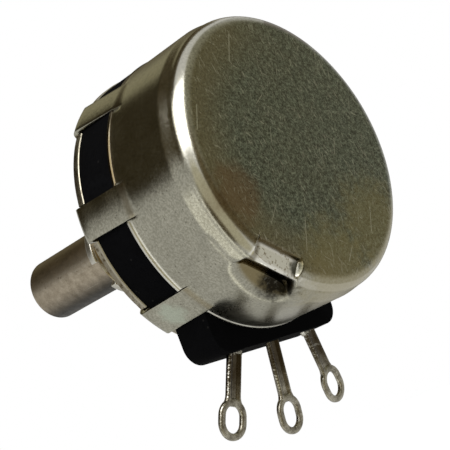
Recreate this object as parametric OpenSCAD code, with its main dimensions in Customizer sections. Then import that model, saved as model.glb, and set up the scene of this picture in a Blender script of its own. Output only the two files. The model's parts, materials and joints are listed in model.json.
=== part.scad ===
// Panel-mounting rotary potentiometer: a moulded base with three terminals, closed by a drawn metal cover.
// The shaft lies along Y. Its tip points to -Y, the cover faces +Y and the terminals hang to -Z.
// The origin is on the shaft axis, in the plane of the mounting face that meets the panel.
// Each piece is drawn round a local Z axis that runs from the tip to the cover, with local Y down_angle,
// and on_axis() then lays it along the shaft.

/* [Shaft] */
// Diameter of the shaft
shaft_d = 6.35; // [5.6:0.05:6.8]
// Distance from the mounting face to the tip of the shaft
shaft_reach = 22.2; // [14:0.1:50]
// Chamfer round the tip
shaft_chamfer = 0.55; // [0.2:0.05:0.9]
// Collar of the shaft, wider than its diameter all round by this much
collar_step = 0.75; // [0.5:0.05:0.9]
// Length of the collar
collar_t = 0.65; // [0.4:0.05:0.9]
// Distance across the two flats that drive the rotor
drive_flats = 4.9; // [4.4:0.05:5.2]
// Thickness of the rivet head that closes the rotor
rivet_head_t = 0.4; // [0.3:0.05:0.6]

/* [Bushing] */
// Outside diameter of the bushing's thread
bushing_d = 9.525; // [9:0.005:10]
// Distance from the mounting face to the bushing's end
bushing_reach = 9.5; // [6.4:0.1:12.7]
// Chamfer at the bushing's end
bushing_chamfer = 0.5; // [0.3:0.05:0.7]
// Pitch of the thread, drawn as grooves that run round the bushing
thread_pitch = 0.8; // [0.6:0.05:1]
// Depth of the thread
thread_depth = 0.42; // [0.2:0.02:0.5]
// Width of the crest between two grooves of the thread
thread_crest = 0.16; // [0.1:0.02:0.3]
// Length left without thread next to the front plate
thread_runout = 0.9; // [0.5:0.1:2]
// Distance that the neck in the front plate stands out past the thread
bushing_neck_step = 0.4; // [0.3:0.05:0.6]
// Distance that the flange staked behind the plate stands out past the neck
bushing_flange_step = 0.5; // [0.3:0.05:0.8]
// Thickness of the staked flange
bushing_flange_t = 0.48; // [0.4:0.02:0.5]

/* [Retaining ring] */
// Thickness of the ring that holds the shaft in the bushing
ring_t = 0.8; // [0.5:0.05:1.1]
// Outside diameter of the ring
ring_d = 9; // [8.2:0.1:9.3]
// Depth of the shaft's groove
groove_depth = 0.42; // [0.3:0.02:0.6]
// Angle of the ring's opening
ring_gap_angle = 36; // [20:1:80]
// Angle round the axis at which the opening lies
ring_place_angle = 30; // [0:5:355]

/* [Thrust washer] */
// Thickness of the washer between bushing and collar
washer_t = 0.3; // [0.2:0.05:0.4]
// Outside diameter of the washer
washer_d = 9.2; // [8.6:0.1:10]

/* [Front plate] */
// Distance that the plate's rim stands out past the base
plate_edge = 0.1; // [0.05:0.05:0.15]
// Thickness of the plate
plate_t = 0.8; // [0.7:0.05:1.2]
// Diameter of the raised pad that meets the panel
pad_d = 18; // [16:0.5:20]
// Height of the raised pad above the rim
pad_step = 0.55; // [0.5:0.01:0.65]
// Width of the relief in the pad round the bushing's neck
relief_w = 0.3; // [0.2:0.05:0.8]
// Depth of the relief
relief_depth = 0.2; // [0.1:0.05:0.3]
// Space beside each tab in its notch
notch_gap = 0.6; // [0.2:0.05:1]
// Depth of a notch below the plate's edge
notch_depth = 0.7; // [0.4:0.05:0.8]
// Width of the locating lug
lug_w = 3.2; // [2:0.1:4]
// Distance that the locating lug stands out of the mounting face
lug_reach = 2; // [1:0.1:3]

/* [Base] */
// Distance that the moulded base stands out past the cover's wall
base_edge = 0.05; // [0.05:0.05:0.25]
// Height of the band that shows between plate and cover
base_band = 4; // [3.5:0.1:5]
// Depth of the base inside the cover
spigot_depth = 1.85; // [1.4:0.05:2.5]
// Width of the terminal block
block_w = 16.9; // [15.6:0.1:17]
// Distance that the block's lower face lies below the round of the base
block_fall = 1.05; // [0.4:0.05:2.5]
// Radius of the block's lower corners
block_corner = 1.8; // [0.5:0.1:2.4]

/* [Cover] */
// Outside diameter of the cover's wall
cover_d = 26.8; // [25:0.05:29]
// Thickness of the cover's sheet
cover_t = 0.42; // [0.35:0.01:0.5]
// Free space between the rotor and the cover
cover_headroom = 1.9; // [1.5:0.05:3]
// Radius of the cover's rear edge
rear_radius = 1.55; // [1:0.05:1.8]
// Length of the shoulder that narrows towards the rear edge
shoulder_length = 2.7; // [2:0.1:3.2]
// Inward slope of the shoulder over its length
shoulder_step = 0.22; // [0.05:0.01:0.4]
// Outward flare of the cover's front edge
lip_flare = 0.15; // [0.1:0.01:0.4]
// Length of the flare along the axis
lip_length = 0.35; // [0.3:0.05:0.8]
// Width of a tab
tab_w = 3.1; // [2:0.05:3.3]
// Length of a tab's fold over the plate, from the wall inward
tab_fold = 2.6; // [1.5:0.1:3]
// Length over which a tab steps out from the wall
tab_step_length = 1.1; // [0.8:0.05:1.5]
// Inner radius of a tab's fold
tab_bend = 0.25; // [0.1:0.05:0.4]

/* [Stop pocket] */
// Angle round the axis at which the pocket lies
pocket_angle = 50.6; // [40:0.2:60]
// Angle by which the pocket's faces are turned
pocket_skew_angle = 8; // [0:1:15]
// Width of the pocket
pocket_w = 4.8; // [4:0.1:6]
// Radius of the pocket's lower corners
pocket_corner = 1.9; // [0.8:0.1:2]
// Distance from the cover's wall in to the chord where the rear face breaks
pocket_bite = 2.05; // [1.8:0.05:2.4]
// Depth of the ledge behind the chord
ledge_drop = 0.45; // [0.3:0.05:0.6]
// Width of the ledge
ledge_w = 1.35; // [1:0.05:1.5]
// Distance from the ledge in to the crease of the pocket
crease_inset = 0.9; // [0.6:0.05:1]
// Distance from the cover's rear face to the crease
crease_depth = 3; // [2.8:0.05:3.2]
// Fall of the ramp from the crease to the wall
ramp_fall = 0.9; // [0.6:0.05:1.2]

/* [Element] */
// Thickness of the carbon track, its end contacts and the collector ring
element_t = 0.3; // [0.2:0.05:0.4]
// Distance from the cover's inside to the terminals' limbs
limb_inset = 1.95; // [1.6:0.05:2.3]
// Width of the carbon track
track_w = 2.6; // [2.2:0.1:2.8]
// Mean radius of the collector ring
collector_r = 4.8; // [4.7:0.05:4.9]
// Width of the collector ring
collector_w = 1.6; // [1.2:0.1:1.8]
// Half of the angle that the track leaves open at the terminals
track_end_angle = 30; // [28:1:34]
// Half of the angle between the facing edges of the end contacts
contact_end_angle = 17; // [16:0.5:20]
// Distance that an end contact reaches out past the track
contact_reach = 1.7; // [1.2:0.1:2]

/* [Terminals] */
// Thickness of the terminal sheet
terminal_t = 0.5; // [0.4:0.02:0.6]
// Width of a terminal's strip
terminal_w = 1.6; // [1.3:0.05:2]
// Angle between neighbouring terminals
terminal_spread_angle = 20; // [18:0.5:22]
// Distance from the block's lower face to the centre of a terminal's eye
eye_fall = 6.55; // [5:0.05:9]
// Distance that the eye stands forward of the strip in the block
eye_forward = 1.1; // [0.2:0.05:1.6]
// Width of the eye
eye_w = 3.1; // [2.8:0.1:4]
// Width of the hole in the eye
eye_hole_w = 1.8; // [1.4:0.1:2]
// Extra length of the eye and its hole along the strip
eye_stretch = 0.55; // [0:0.05:0.8]
// Depth of the groove pressed along the strip
groove_press = 0.14; // [0.06:0.01:0.18]
// Width of the pressed groove
groove_w = 0.55; // [0.4:0.05:0.8]
// Distance that the groove ends short of the block and of the eye
groove_end = 0.5; // [0.3:0.05:1]
// Distance from the base's rear shoulder to the terminals in the block
terminal_inset = 1.7; // [1.2:0.05:2]

/* [Rotor] */
// Thickness of the moulded brush carrier
carrier_t = 2.85; // [2.6:0.05:3.2]
// Wall of the carrier outside its brush channel
carrier_edge = 0.55; // [0.4:0.05:0.9]
// Space between the element and the carrier
carrier_lift = 0.85; // [0.75:0.05:1]
// Width of the carrier's brush channel
channel_w = 2.4; // [2.2:0.05:2.8]
// Thickness of the wall that closes the channel towards the cover
channel_roof = 0.35; // [0.25:0.05:0.5]
// Height of the two carbon brushes
brush_h = 2.3; // [2:0.05:2.4]
// Length of the track brush, measured across the track
track_brush_l = 2; // [1.6:0.1:2.2]
// Length of the collector brush, measured across the ring
collector_brush_l = 1.3; // [1:0.1:1.4]
// Thickness of the brush spring
spring_t = 0.16; // [0.1:0.02:0.24]
// Thickness of the stop plate
stop_t = 0.85; // [0.7:0.05:1]
// Width of the stop plate's arm
stop_arm_w = 3.6; // [3:0.05:3.6]
// Gap between the end of the stop arm and the cover
stop_arm_gap = 0.45; // [0.35:0.05:0.7]
// Diameter of the stop plate's hub
stop_hub_d = 10.4; // [10:0.1:12]

/* [Clearances] */
// Radial clearance between shaft and bushing
shaft_fit = 0.03; // [0.02:0.005:0.06]
// Gap between surfaces that slide on each other
slide_gap = 0.03; // [0.02:0.005:0.06]
// Clearance round the parts that are held in place
seat_gap = 0.05; // [0.02:0.01:0.08]
// Clearance round the shaft inside the base
base_bore_gap = 0.25; // [0.15:0.05:0.4]

/* [Hidden] */
$fn = 96;

// Length that a cutting body stands out of what it cuts
over = 1;
// Angle round the axis at which the terminal block lies
down_angle = 90;
// Angles of the cover's tabs, and that of the locating lug between them
tab_angles = [0, 45, 135, 225, 270, 315];
lug_angle = 180;

shaft_r = shaft_d / 2;
bushing_r = bushing_d / 2;
neck_r = bushing_r + bushing_neck_step;
relief_r = neck_r + relief_w;
cover_r = cover_d / 2;
base_r = cover_r + base_edge;
plate_r = base_r + plate_edge;
pad_r = pad_d / 2;
block_drop = base_r + block_fall;
eye_distance = block_drop + eye_fall;
pocket_chord = cover_r - pocket_bite;

// Stack of heights along the shaft, counted from the mounting face towards the rear
rim_front = pad_step;
rim_rear = rim_front + plate_t;
pad_rear = plate_t;
flange_rear = pad_rear + bushing_flange_t;
washer_front = flange_rear + slide_gap;
collar_front = washer_front + washer_t + slide_gap;
collar_rear = collar_front + collar_t;
shoulder_z = rim_rear + base_band;
element_z = shoulder_z + spigot_depth;
track_z = element_z + element_t;
brush_z = track_z + slide_gap;
carrier_front = track_z + carrier_lift;
carrier_rear = carrier_front + carrier_t;
stop_rear = carrier_rear + stop_t;
shaft_rear = stop_rear + rivet_head_t;
cover_rear = shaft_rear + cover_headroom + cover_t;

// Retaining ring and its groove, in front of the bushing
ring_rear = -bushing_reach - slide_gap;
ring_front = ring_rear - ring_t;
groove_r = shaft_r - groove_depth;

// Places in the base
terminal_z = shoulder_z - terminal_inset;
bore_r = shaft_r + base_bore_gap;
recess_r = washer_d / 2 + 4 * seat_gap;

// Tabs: the inside of a tab lies against the base
tab_inner_r = base_r + seat_gap;
tab_outer_r = tab_inner_r + cover_t;
tab_front = rim_front - cover_t;

// Terminal limbs: a limb goes to the rear at this radius, then inward over the element
limb_r = cover_r - cover_t - limb_inset;
track_r = limb_r - contact_reach - track_w / 2;
side_limb_end = limb_r - contact_reach + 3 * seat_gap;
centre_limb_end = collector_r - collector_w / 2 + 3 * seat_gap;

// Direction that the brushes have at mid travel, and that of the stop arm
brush_angle = down_angle + 180;
arm_angle = pocket_angle + 180;

// Lays a piece that is drawn round Z along the shaft
module on_axis() {
    rotate([-90, 0, 0]) children();
}

// Turns a piece round the shaft axis
module turned(angle) {
    rotate([0, 0, angle]) children();
}

// Ring between two radii and two heights
module ring(outer_r, inner_r, z0, z1) {
    translate([0, 0, z0]) difference() {
        cylinder(r = outer_r, h = z1 - z0);
        translate([0, 0, -over]) cylinder(r = inner_r, h = z1 - z0 + 2 * over);
    }
}

// Bar that starts on the axis plane x = x0 and runs to x1, centred across, between two heights
module bar(x0, x1, width, z0, z1) {
    translate([x0, -width / 2, z0]) cube([x1 - x0, width, z1 - z0]);
}

// Sector of a disc, as the outline that a ring is cut with
module sector(reach, from, to) {
    steps = 8;
    polygon(concat(
        [[0, 0]],
        [for (i = [0:steps]) let (a = from + (to - from) * i / steps) reach * [cos(a), sin(a)]]
    ));
}

// Shaft end with two flats, grown by a clearance
module drive_outline(gap) {
    intersection() {
        circle(r = shaft_r - seat_gap + gap);
        square([2 * shaft_d, drive_flats + 2 * gap], center = true);
    }
}

module shaft() {
    color("#7d7468") on_axis() difference() {
        union() {
            translate([0, 0, -shaft_reach])
                cylinder(r1 = shaft_r - shaft_chamfer, r2 = shaft_r, h = shaft_chamfer);
            translate([0, 0, shaft_chamfer - shaft_reach])
                cylinder(r = shaft_r, h = shaft_reach - shaft_chamfer + carrier_front);
            translate([0, 0, collar_front]) cylinder(r = shaft_r + collar_step, h = collar_t);
            translate([0, 0, carrier_front]) linear_extrude(stop_rear - carrier_front) drive_outline(0);
            translate([0, 0, stop_rear])
                cylinder(r1 = shaft_r + 2 * seat_gap, r2 = shaft_r - rivet_head_t / 2, h = rivet_head_t);
        }
        ring(shaft_r + over, groove_r, ring_front - slide_gap, ring_rear + slide_gap);
    }
}

module shaft_retaining_ring() {
    color("#a8a294") on_axis() difference() {
        ring(ring_d / 2, groove_r + slide_gap, ring_front, ring_rear);
        translate([0, 0, ring_front - over]) linear_extrude(ring_t + 2 * over)
            sector(ring_d, ring_place_angle - ring_gap_angle / 2, ring_place_angle + ring_gap_angle / 2);
    }
}

// Section of one groove of the thread, from the height where it starts
function thread_groove(z) = let (mouth = thread_pitch - thread_crest) [
    [bushing_r, z], [bushing_r - thread_depth, z + mouth / 2], [bushing_r, z + mouth]
];

module bushing() {
    bore = shaft_r + shaft_fit;
    thread_front = bushing_chamfer + thread_crest - bushing_reach;
    grooves = floor((-thread_runout - thread_front) / thread_pitch);
    color("#a39c88") on_axis() rotate_extrude() polygon(concat(
        [
            [bore, -bushing_reach],
            [bushing_r - bushing_chamfer, -bushing_reach],
            [bushing_r, bushing_chamfer - bushing_reach]
        ],
        [for (i = [0:grooves - 1]) each thread_groove(thread_front + i * thread_pitch)],
        [
            [bushing_r, 0],
            [neck_r, relief_depth],
            [neck_r, pad_rear],
            [neck_r + bushing_flange_step, pad_rear],
            [neck_r + bushing_flange_step, flange_rear],
            [bore, flange_rear]
        ]
    ));
}

module thrust_washer() {
    color("#b8b2a4") on_axis()
        ring(washer_d / 2, shaft_r + 2 * seat_gap, washer_front, washer_front + washer_t);
}

// Plate section: the pad is pushed forward out of the rim and relieved round the bushing
module plate_section() {
    slope = pad_step;
    polygon([
        [neck_r, relief_depth],
        [relief_r, relief_depth],
        [relief_r, 0],
        [pad_r, 0],
        [pad_r + slope, rim_front],
        [plate_r, rim_front],
        [plate_r, rim_rear],
        [pad_r + slope / 2, rim_rear],
        [pad_r - slope / 2, pad_rear],
        [neck_r, pad_rear]
    ]);
}

module front_plate() {
    notch_w = tab_w + 2 * notch_gap;
    color("#b5b2a6") on_axis() {
        difference() {
            rotate_extrude() plate_section();
            for (a = tab_angles) turned(a)
                bar(plate_r - notch_depth, plate_r + over, notch_w, rim_front - over, rim_rear + over);
        }
        turned(lug_angle)
            bar(plate_r - plate_t - seat_gap, plate_r - seat_gap, lug_w, -lug_reach, rim_rear);
    }
}

// Outline of the base seen along the shaft: a disc with the terminal block below it
module base_outline() {
    union() {
        circle(r = base_r);
        for (side = [-1, 1])
            translate([side * (block_w / 2 - block_corner), block_drop - block_corner]) circle(r = block_corner);
        translate([block_corner - block_w / 2, 0]) square([block_w - 2 * block_corner, block_drop]);
        translate([-block_w / 2, 0]) square([block_w, block_drop - block_corner]);
    }
}

// Path of a terminal inside the base, widened by a clearance, in a frame whose X axis is its direction
module terminal_slot() {
    width = terminal_w + 2 * seat_gap;
    bar(limb_r - terminal_t - seat_gap, eye_distance, width, terminal_z - seat_gap,
        terminal_z + terminal_t + seat_gap);
    bar(limb_r - terminal_t - seat_gap, limb_r + seat_gap, width, terminal_z - seat_gap, element_z + over);
}

module base_moulding() {
    spigot_r = cover_r - cover_t - seat_gap;
    color("#16171a") on_axis() difference() {
        union() {
            translate([0, 0, rim_rear]) linear_extrude(base_band - seat_gap) base_outline();
            translate([0, 0, rim_rear]) cylinder(r = base_r, h = base_band);
            translate([0, 0, rim_rear]) cylinder(r = spigot_r, h = base_band + spigot_depth);
        }
        translate([0, 0, rim_rear - over]) cylinder(r = bore_r, h = element_z - rim_rear + 2 * over);
        translate([0, 0, rim_rear - over]) cylinder(r = recess_r, h = collar_rear + seat_gap - rim_rear + over);
        for (side = [-1, 0, 1]) turned(down_angle + side * terminal_spread_angle) terminal_slot();
    }
}

// Flat ring on the base's rear face, kept outside the sector that faces the terminals
module open_ring(mean_r, width, half_gap) {
    difference() {
        ring(mean_r + width / 2, mean_r - width / 2, element_z, track_z);
        translate([0, 0, element_z - over]) linear_extrude(element_t + 2 * over)
            sector(2 * base_r, down_angle - half_gap, down_angle + half_gap);
    }
}

module resistance_track() {
    color("#1d1c1b") on_axis() open_ring(track_r, track_w, track_end_angle);
}

module collector_ring() {
    color("#b9a56a") on_axis() ring(collector_r + collector_w / 2, collector_r - collector_w / 2, element_z, track_z);
}

// Plated contact between a track end and the terminal that rests on it
module end_contact(side) {
    near = down_angle + side * contact_end_angle;
    far = down_angle + side * track_end_angle;
    color("#cfc8b4") on_axis() intersection() {
        difference() {
            ring(limb_r - terminal_t - seat_gap, track_r - track_w / 2, element_z, track_z);
            turned(down_angle + side * terminal_spread_angle) terminal_slot();
        }
        translate([0, 0, element_z - over]) linear_extrude(element_t + 2 * over)
            sector(2 * base_r, min(near, far), max(near, far));
    }
}

module end_contact_left() {
    end_contact(1);
}

module end_contact_right() {
    end_contact(-1);
}

// Outline of the eye round the origin: two circles drawn apart along X
module eye_outline(width) {
    union() {
        for (side = [-1, 1]) translate([side * eye_stretch / 2, 0]) circle(r = width / 2);
        square([eye_stretch, width], center = true);
    }
}

// Part of a terminal outside the block, in a frame at the root with X along the strip
module terminal_blade(length) {
    difference() {
        linear_extrude(terminal_t) difference() {
            union() {
                translate([-seat_gap, -terminal_w / 2]) square([length - eye_hole_w / 2, terminal_w]);
                translate([length, 0]) eye_outline(eye_w);
            }
            translate([length, 0]) eye_outline(eye_hole_w);
        }
        translate([groove_end, -groove_w / 2, terminal_t - groove_press])
            cube([length - eye_w / 2 - 2 * groove_end, groove_w, terminal_t]);
    }
}

// Whole terminal in a frame whose X axis is its direction, at an angle from the centre one
module terminal(angle, limb_end) {
    root = (block_drop + abs(sin(angle)) * terminal_w / 2) / cos(angle);
    run = eye_distance - root;
    turned(down_angle + angle) union() {
        bar(limb_r - terminal_t, root, terminal_w, terminal_z, terminal_z + terminal_t);
        bar(limb_r - terminal_t, limb_r, terminal_w, terminal_z, track_z + terminal_t);
        bar(limb_end, limb_r, terminal_w, track_z, track_z + terminal_t);
        translate([root, 0, terminal_z]) rotate([0, atan(eye_forward / run), 0])
            terminal_blade(norm([run, eye_forward]));
    }
}

module terminal_left() {
    color("#8d8674") on_axis() terminal(terminal_spread_angle, side_limb_end);
}

module terminal_centre() {
    color("#8d8674") on_axis() terminal(0, centre_limb_end);
}

module terminal_right() {
    color("#8d8674") on_axis() terminal(-terminal_spread_angle, side_limb_end);
}

// Inner and outer ends of the brush channel
channel_inner = collector_r - collector_brush_l / 2 - seat_gap;
channel_outer = track_r + track_brush_l / 2 + seat_gap;
channel_top = carrier_rear - channel_roof;
carrier_r = channel_outer + carrier_edge;

module brush_carrier() {
    color("#2a1f18") on_axis() difference() {
        translate([0, 0, carrier_front]) cylinder(r = carrier_r, h = carrier_t);
        translate([0, 0, carrier_front - over]) linear_extrude(carrier_t + 2 * over) drive_outline(slide_gap);
        turned(brush_angle)
            bar(channel_inner, channel_outer, channel_w, carrier_front - over, channel_top);
    }
}

// Carbon brush that stands on the element, centred at a radius
module brush(mean_r, length) {
    width = channel_w - 2 * seat_gap;
    on_axis() turned(brush_angle)
        bar(mean_r - length / 2, mean_r + length / 2, width, brush_z, brush_z + brush_h);
}

module track_brush() {
    color("#2b2b2d") brush(track_r, track_brush_l);
}

module collector_brush() {
    color("#2b2b2d") brush(collector_r, collector_brush_l);
}

// Bowed leaf that stands on both brushes and bears on the channel's roof
module brush_spring() {
    low = brush_z + brush_h;
    rise = channel_top - low - spring_t;
    half = (channel_outer - channel_inner) / 2 - seat_gap;
    bow_r = (half * half + rise * rise) / (2 * rise);
    width = channel_w - 4 * seat_gap;
    color("#c9b27a") on_axis() turned(brush_angle)
        translate([(channel_inner + channel_outer) / 2, width / 2, 0]) rotate([90, 0, 0])
        linear_extrude(width) intersection() {
            difference() {
                translate([0, low + rise - bow_r]) circle(r = bow_r + spring_t);
                translate([0, low + rise - bow_r]) circle(r = bow_r);
            }
            translate([-half, low]) square([2 * half, rise + spring_t + over]);
        }
}

module stop_plate() {
    reach = cover_r - cover_t - stop_arm_gap;
    color("#9c9a92") on_axis() translate([0, 0, carrier_rear]) linear_extrude(stop_t) difference() {
        union() {
            circle(r = stop_hub_d / 2);
            rotate([0, 0, arm_angle]) translate([0, -stop_arm_w / 2]) square([reach, stop_arm_w]);
        }
        drive_outline(slide_gap);
    }
}

// Corner of a path, moved to the right of the path by a distance, with mitred joins
function unit(v) = v / norm(v);
function right_of(a, b) = let (d = unit(b - a)) [d.y, -d.x];
function mitre(a, b, c, t) = let (n = right_of(a, b), m = right_of(b, c)) b + (n + m) * t / (1 + n * m);
function shifted(path, t) = [
    for (i = [1:len(path) - 2]) mitre(path[i - 1], path[i], path[i + 1], t)
];

// Section of the stop pocket, as distance from the axis against height: chord, ledge, crease and ramp
pocket_path = [
    [pocket_chord, cover_rear + 2 * over],
    [pocket_chord, cover_rear - ledge_drop],
    [pocket_chord + ledge_w, cover_rear - ledge_drop - ledge_w / 6],
    [pocket_chord + ledge_w - crease_inset, cover_rear - crease_depth],
    [cover_r + shoulder_step, cover_rear - crease_depth - ramp_fall],
    [cover_r + shoulder_step + 2 * over, cover_rear - crease_depth - ramp_fall]
];

// Space that the pocket takes out of the cover, moved into the metal by a distance
module pocket_space(t) {
    corners = shifted(pocket_path, t);
    reach = cover_r + 3 * over;
    floor_z = cover_rear - crease_depth - ramp_fall - t;
    half = pocket_w / 2 + t;
    corner = pocket_corner + t;
    turned(pocket_angle) intersection() {
        turned(pocket_skew_angle) translate([0, reach, 0]) rotate([90, 0, 0]) linear_extrude(2 * reach)
            polygon(concat(
                [[corners[0].x, cover_rear + 2 * over]],
                corners,
                [[reach, floor_z], [reach, cover_rear + 2 * over]]
            ));
        rotate([90, 0, 90]) linear_extrude(reach) union() {
            for (side = [-1, 1]) translate([side * (half - corner), floor_z + corner]) circle(r = corner);
            translate([corner - half, floor_z]) square([2 * (half - corner), corner + over]);
            translate([-half, floor_z + corner]) square([2 * half, cover_rear + over - floor_z - corner]);
        }
    }
}

// Section of the cup from its axis, drawn inside the outer surface by a distance
module cup_section(t, front_z) {
    edge_x = cover_r - shoulder_step - rear_radius;
    edge_z = cover_rear - rear_radius;
    union() {
        translate([edge_x, edge_z]) circle(r = rear_radius - t);
        polygon([
            [0, front_z],
            [cover_r - t, front_z],
            [cover_r - t, edge_z + rear_radius - shoulder_length],
            [edge_x + rear_radius - t, edge_z],
            [edge_x, edge_z],
            [edge_x, cover_rear - t],
            [0, cover_rear - t]
        ]);
    }
}

// Flare that stiffens the cup's front edge
module lip_section() {
    polygon([
        [cover_r - cover_t / 2, shoulder_z],
        [cover_r + lip_flare, shoulder_z],
        [cover_r, shoulder_z + lip_length],
        [cover_r - cover_t / 2, shoulder_z + lip_length]
    ]);
}

// Quarter of the section where a tab steps out from the wall, runs forward and folds over the plate
module tab_section() {
    step_z = shoulder_z + lip_length;
    bend_r = tab_bend + cover_t;
    bend_x = tab_outer_r - bend_r;
    bend_z = tab_front + bend_r;
    union() {
        polygon([
            [cover_r - cover_t, step_z + tab_step_length],
            [cover_r, step_z + tab_step_length],
            [tab_outer_r, step_z],
            [tab_outer_r, bend_z],
            [tab_inner_r, bend_z],
            [tab_inner_r, shoulder_z + seat_gap],
            [cover_r - cover_t, shoulder_z + seat_gap]
        ]);
        translate([tab_inner_r - tab_fold, tab_front]) square([bend_x - tab_inner_r + tab_fold, cover_t]);
        intersection() {
            difference() {
                translate([bend_x, bend_z]) circle(r = bend_r);
                translate([bend_x, bend_z]) circle(r = tab_bend);
            }
            translate([bend_x, tab_front]) square(bend_r);
        }
    }
}

// Cup filled to its outer surface, or its inside, with the pocket pressed in
module cup(t, front_z) {
    difference() {
        rotate_extrude() cup_section(t, front_z);
        pocket_space(t);
    }
}

module rear_cover() {
    color("#a6a294") on_axis() {
        difference() {
            cup(0, shoulder_z);
            cup(cover_t, shoulder_z - over);
        }
        rotate_extrude() lip_section();
        intersection() {
            rotate_extrude() tab_section();
            for (a = tab_angles) turned(a) bar(0, 2 * cover_r, tab_w, tab_front - over, cover_rear);
        }
    }
}

rear_cover();
front_plate();
bushing();
shaft();
shaft_retaining_ring();
thrust_washer();
base_moulding();
resistance_track();
end_contact_left();
end_contact_right();
collector_ring();
terminal_left();
terminal_centre();
terminal_right();
brush_carrier();
track_brush();
collector_brush();
brush_spring();
stop_plate();
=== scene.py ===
"""Looks of a panel-mounting rotary potentiometer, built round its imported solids.

The frame is that of the solids: the shaft lies along Y with its tip at -Y, the cover faces +Y, the terminals
hang to -Z and the origin is on the shaft axis in the mounting face. Sizes in the dataclasses are in
millimetres and angles in degrees, measured in the XZ plane from +X towards +Z. Meshes are in metres.
"""

import json
import logging
import math
from abc import ABC, abstractmethod
from dataclasses import dataclass, field
from enum import Enum
from typing import Dict, List, Optional, Sequence, Tuple, Union

import bmesh
import bpy
import numpy as np
from mathutils import Matrix, Vector

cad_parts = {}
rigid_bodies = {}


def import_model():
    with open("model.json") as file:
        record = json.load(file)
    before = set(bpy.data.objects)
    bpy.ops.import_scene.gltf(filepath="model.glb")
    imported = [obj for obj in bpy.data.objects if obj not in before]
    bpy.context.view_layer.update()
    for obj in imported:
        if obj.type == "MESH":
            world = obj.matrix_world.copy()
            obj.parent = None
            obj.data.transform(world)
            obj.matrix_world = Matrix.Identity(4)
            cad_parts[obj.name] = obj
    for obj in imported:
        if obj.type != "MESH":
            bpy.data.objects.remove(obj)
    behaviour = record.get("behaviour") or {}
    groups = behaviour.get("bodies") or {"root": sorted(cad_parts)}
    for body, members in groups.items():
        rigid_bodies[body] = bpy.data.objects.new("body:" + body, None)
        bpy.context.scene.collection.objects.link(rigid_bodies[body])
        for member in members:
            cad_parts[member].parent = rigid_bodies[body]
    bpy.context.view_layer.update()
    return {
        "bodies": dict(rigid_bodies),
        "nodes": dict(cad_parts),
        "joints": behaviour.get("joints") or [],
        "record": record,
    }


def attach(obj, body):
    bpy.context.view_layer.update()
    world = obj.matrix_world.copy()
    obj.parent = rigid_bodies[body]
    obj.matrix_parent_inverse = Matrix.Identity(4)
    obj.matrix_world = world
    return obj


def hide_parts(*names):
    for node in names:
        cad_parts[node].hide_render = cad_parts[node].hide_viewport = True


LOG = logging.getLogger("potentiometer")
MM = 0.001

Colour = Tuple[float, float, float]
Point2 = Tuple[float, float]
Point3 = Tuple[float, float, float]
Node = bpy.types.Node
Socket = bpy.types.NodeSocket
Value = Union[float, Sequence[float], bpy.types.NodeSocket]
Inputs = Dict[Union[int, str], Value]


# Meshes


def smoothstep(low: float, high: float, value: np.ndarray) -> np.ndarray:
    """Smooth step from 0 where the value is low to 1 where it is high."""
    t = np.clip((np.asarray(value, float) - low) / (high - low), 0.0, 1.0)
    return t * t * (3.0 - 2.0 * t)


def polar(radius: np.ndarray, angle: np.ndarray, height: np.ndarray) -> np.ndarray:
    """Points round the shaft axis, at distances from it, angles in degrees and places along Y."""
    r, a, y = np.broadcast_arrays(radius, np.radians(angle), height)
    return np.stack([r * np.cos(a), y, r * np.sin(a)], axis=-1)


def swept(section: Sequence[Point2], angles: np.ndarray) -> np.ndarray:
    """Grid of a section, given as distance from the axis and place along Y, at each angle."""
    rows = np.asarray(section, float)
    return polar(rows[:, :1], angles[None, :], rows[:, 1:2])


def round_angles(count: int) -> np.ndarray:
    """Angles that are spread evenly once round the axis."""
    return np.arange(count) * 360.0 / count


def rounded_path(points: Sequence[Point2], radius: float, steps: int = 5) -> np.ndarray:
    """Rounds the inner corners of an open path.

    Args:
        points: Corners of the path.
        radius: Radius of the rounding, limited by each corner's legs.
        steps: Segments of each rounding.

    Returns:
        The rounded path, one point a row.
    """
    straight, leg_share = math.radians(89.0), 0.45
    pts = [np.array(p, float) for p in points]
    out = [pts[0]]
    for a, b, c in zip(pts, pts[1:], pts[2:]):
        before, after = a - b, c - b
        la, lc = np.linalg.norm(before), np.linalg.norm(after)
        half = math.acos(np.clip(before @ after / (la * lc), -1.0, 1.0)) / 2.0
        if half > straight:
            out.append(b)
            continue
        reach = min(radius / math.tan(half), leg_share * la, leg_share * lc)
        start, end = b + before / la * reach, b + after / lc * reach
        for t in np.linspace(0.0, 1.0, steps + 1):
            out.append((1 - t) ** 2 * start + 2 * t * (1 - t) * b + t * t * end)
    out.append(pts[-1])
    return np.array(out)


def resample(path: np.ndarray, count: int) -> np.ndarray:
    """Spreads points evenly along a path.

    Args:
        path: Points of the path, one a row.
        count: How many points to return.

    Returns:
        The evenly spaced points, ends included.
    """
    run = np.concatenate([[0.0], np.cumsum(np.linalg.norm(np.diff(path, axis=0), axis=1))])
    at = np.linspace(0.0, run[-1], count)
    return np.stack([np.interp(at, run, path[:, k]) for k in range(path.shape[1])], axis=1)


def placed(grid: np.ndarray, place: Matrix) -> np.ndarray:
    """Points of a grid, laid in the frame by a matrix."""
    return np.array([tuple(place @ Vector(p)) for p in grid.reshape(-1, 3)]).reshape(grid.shape)


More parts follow.
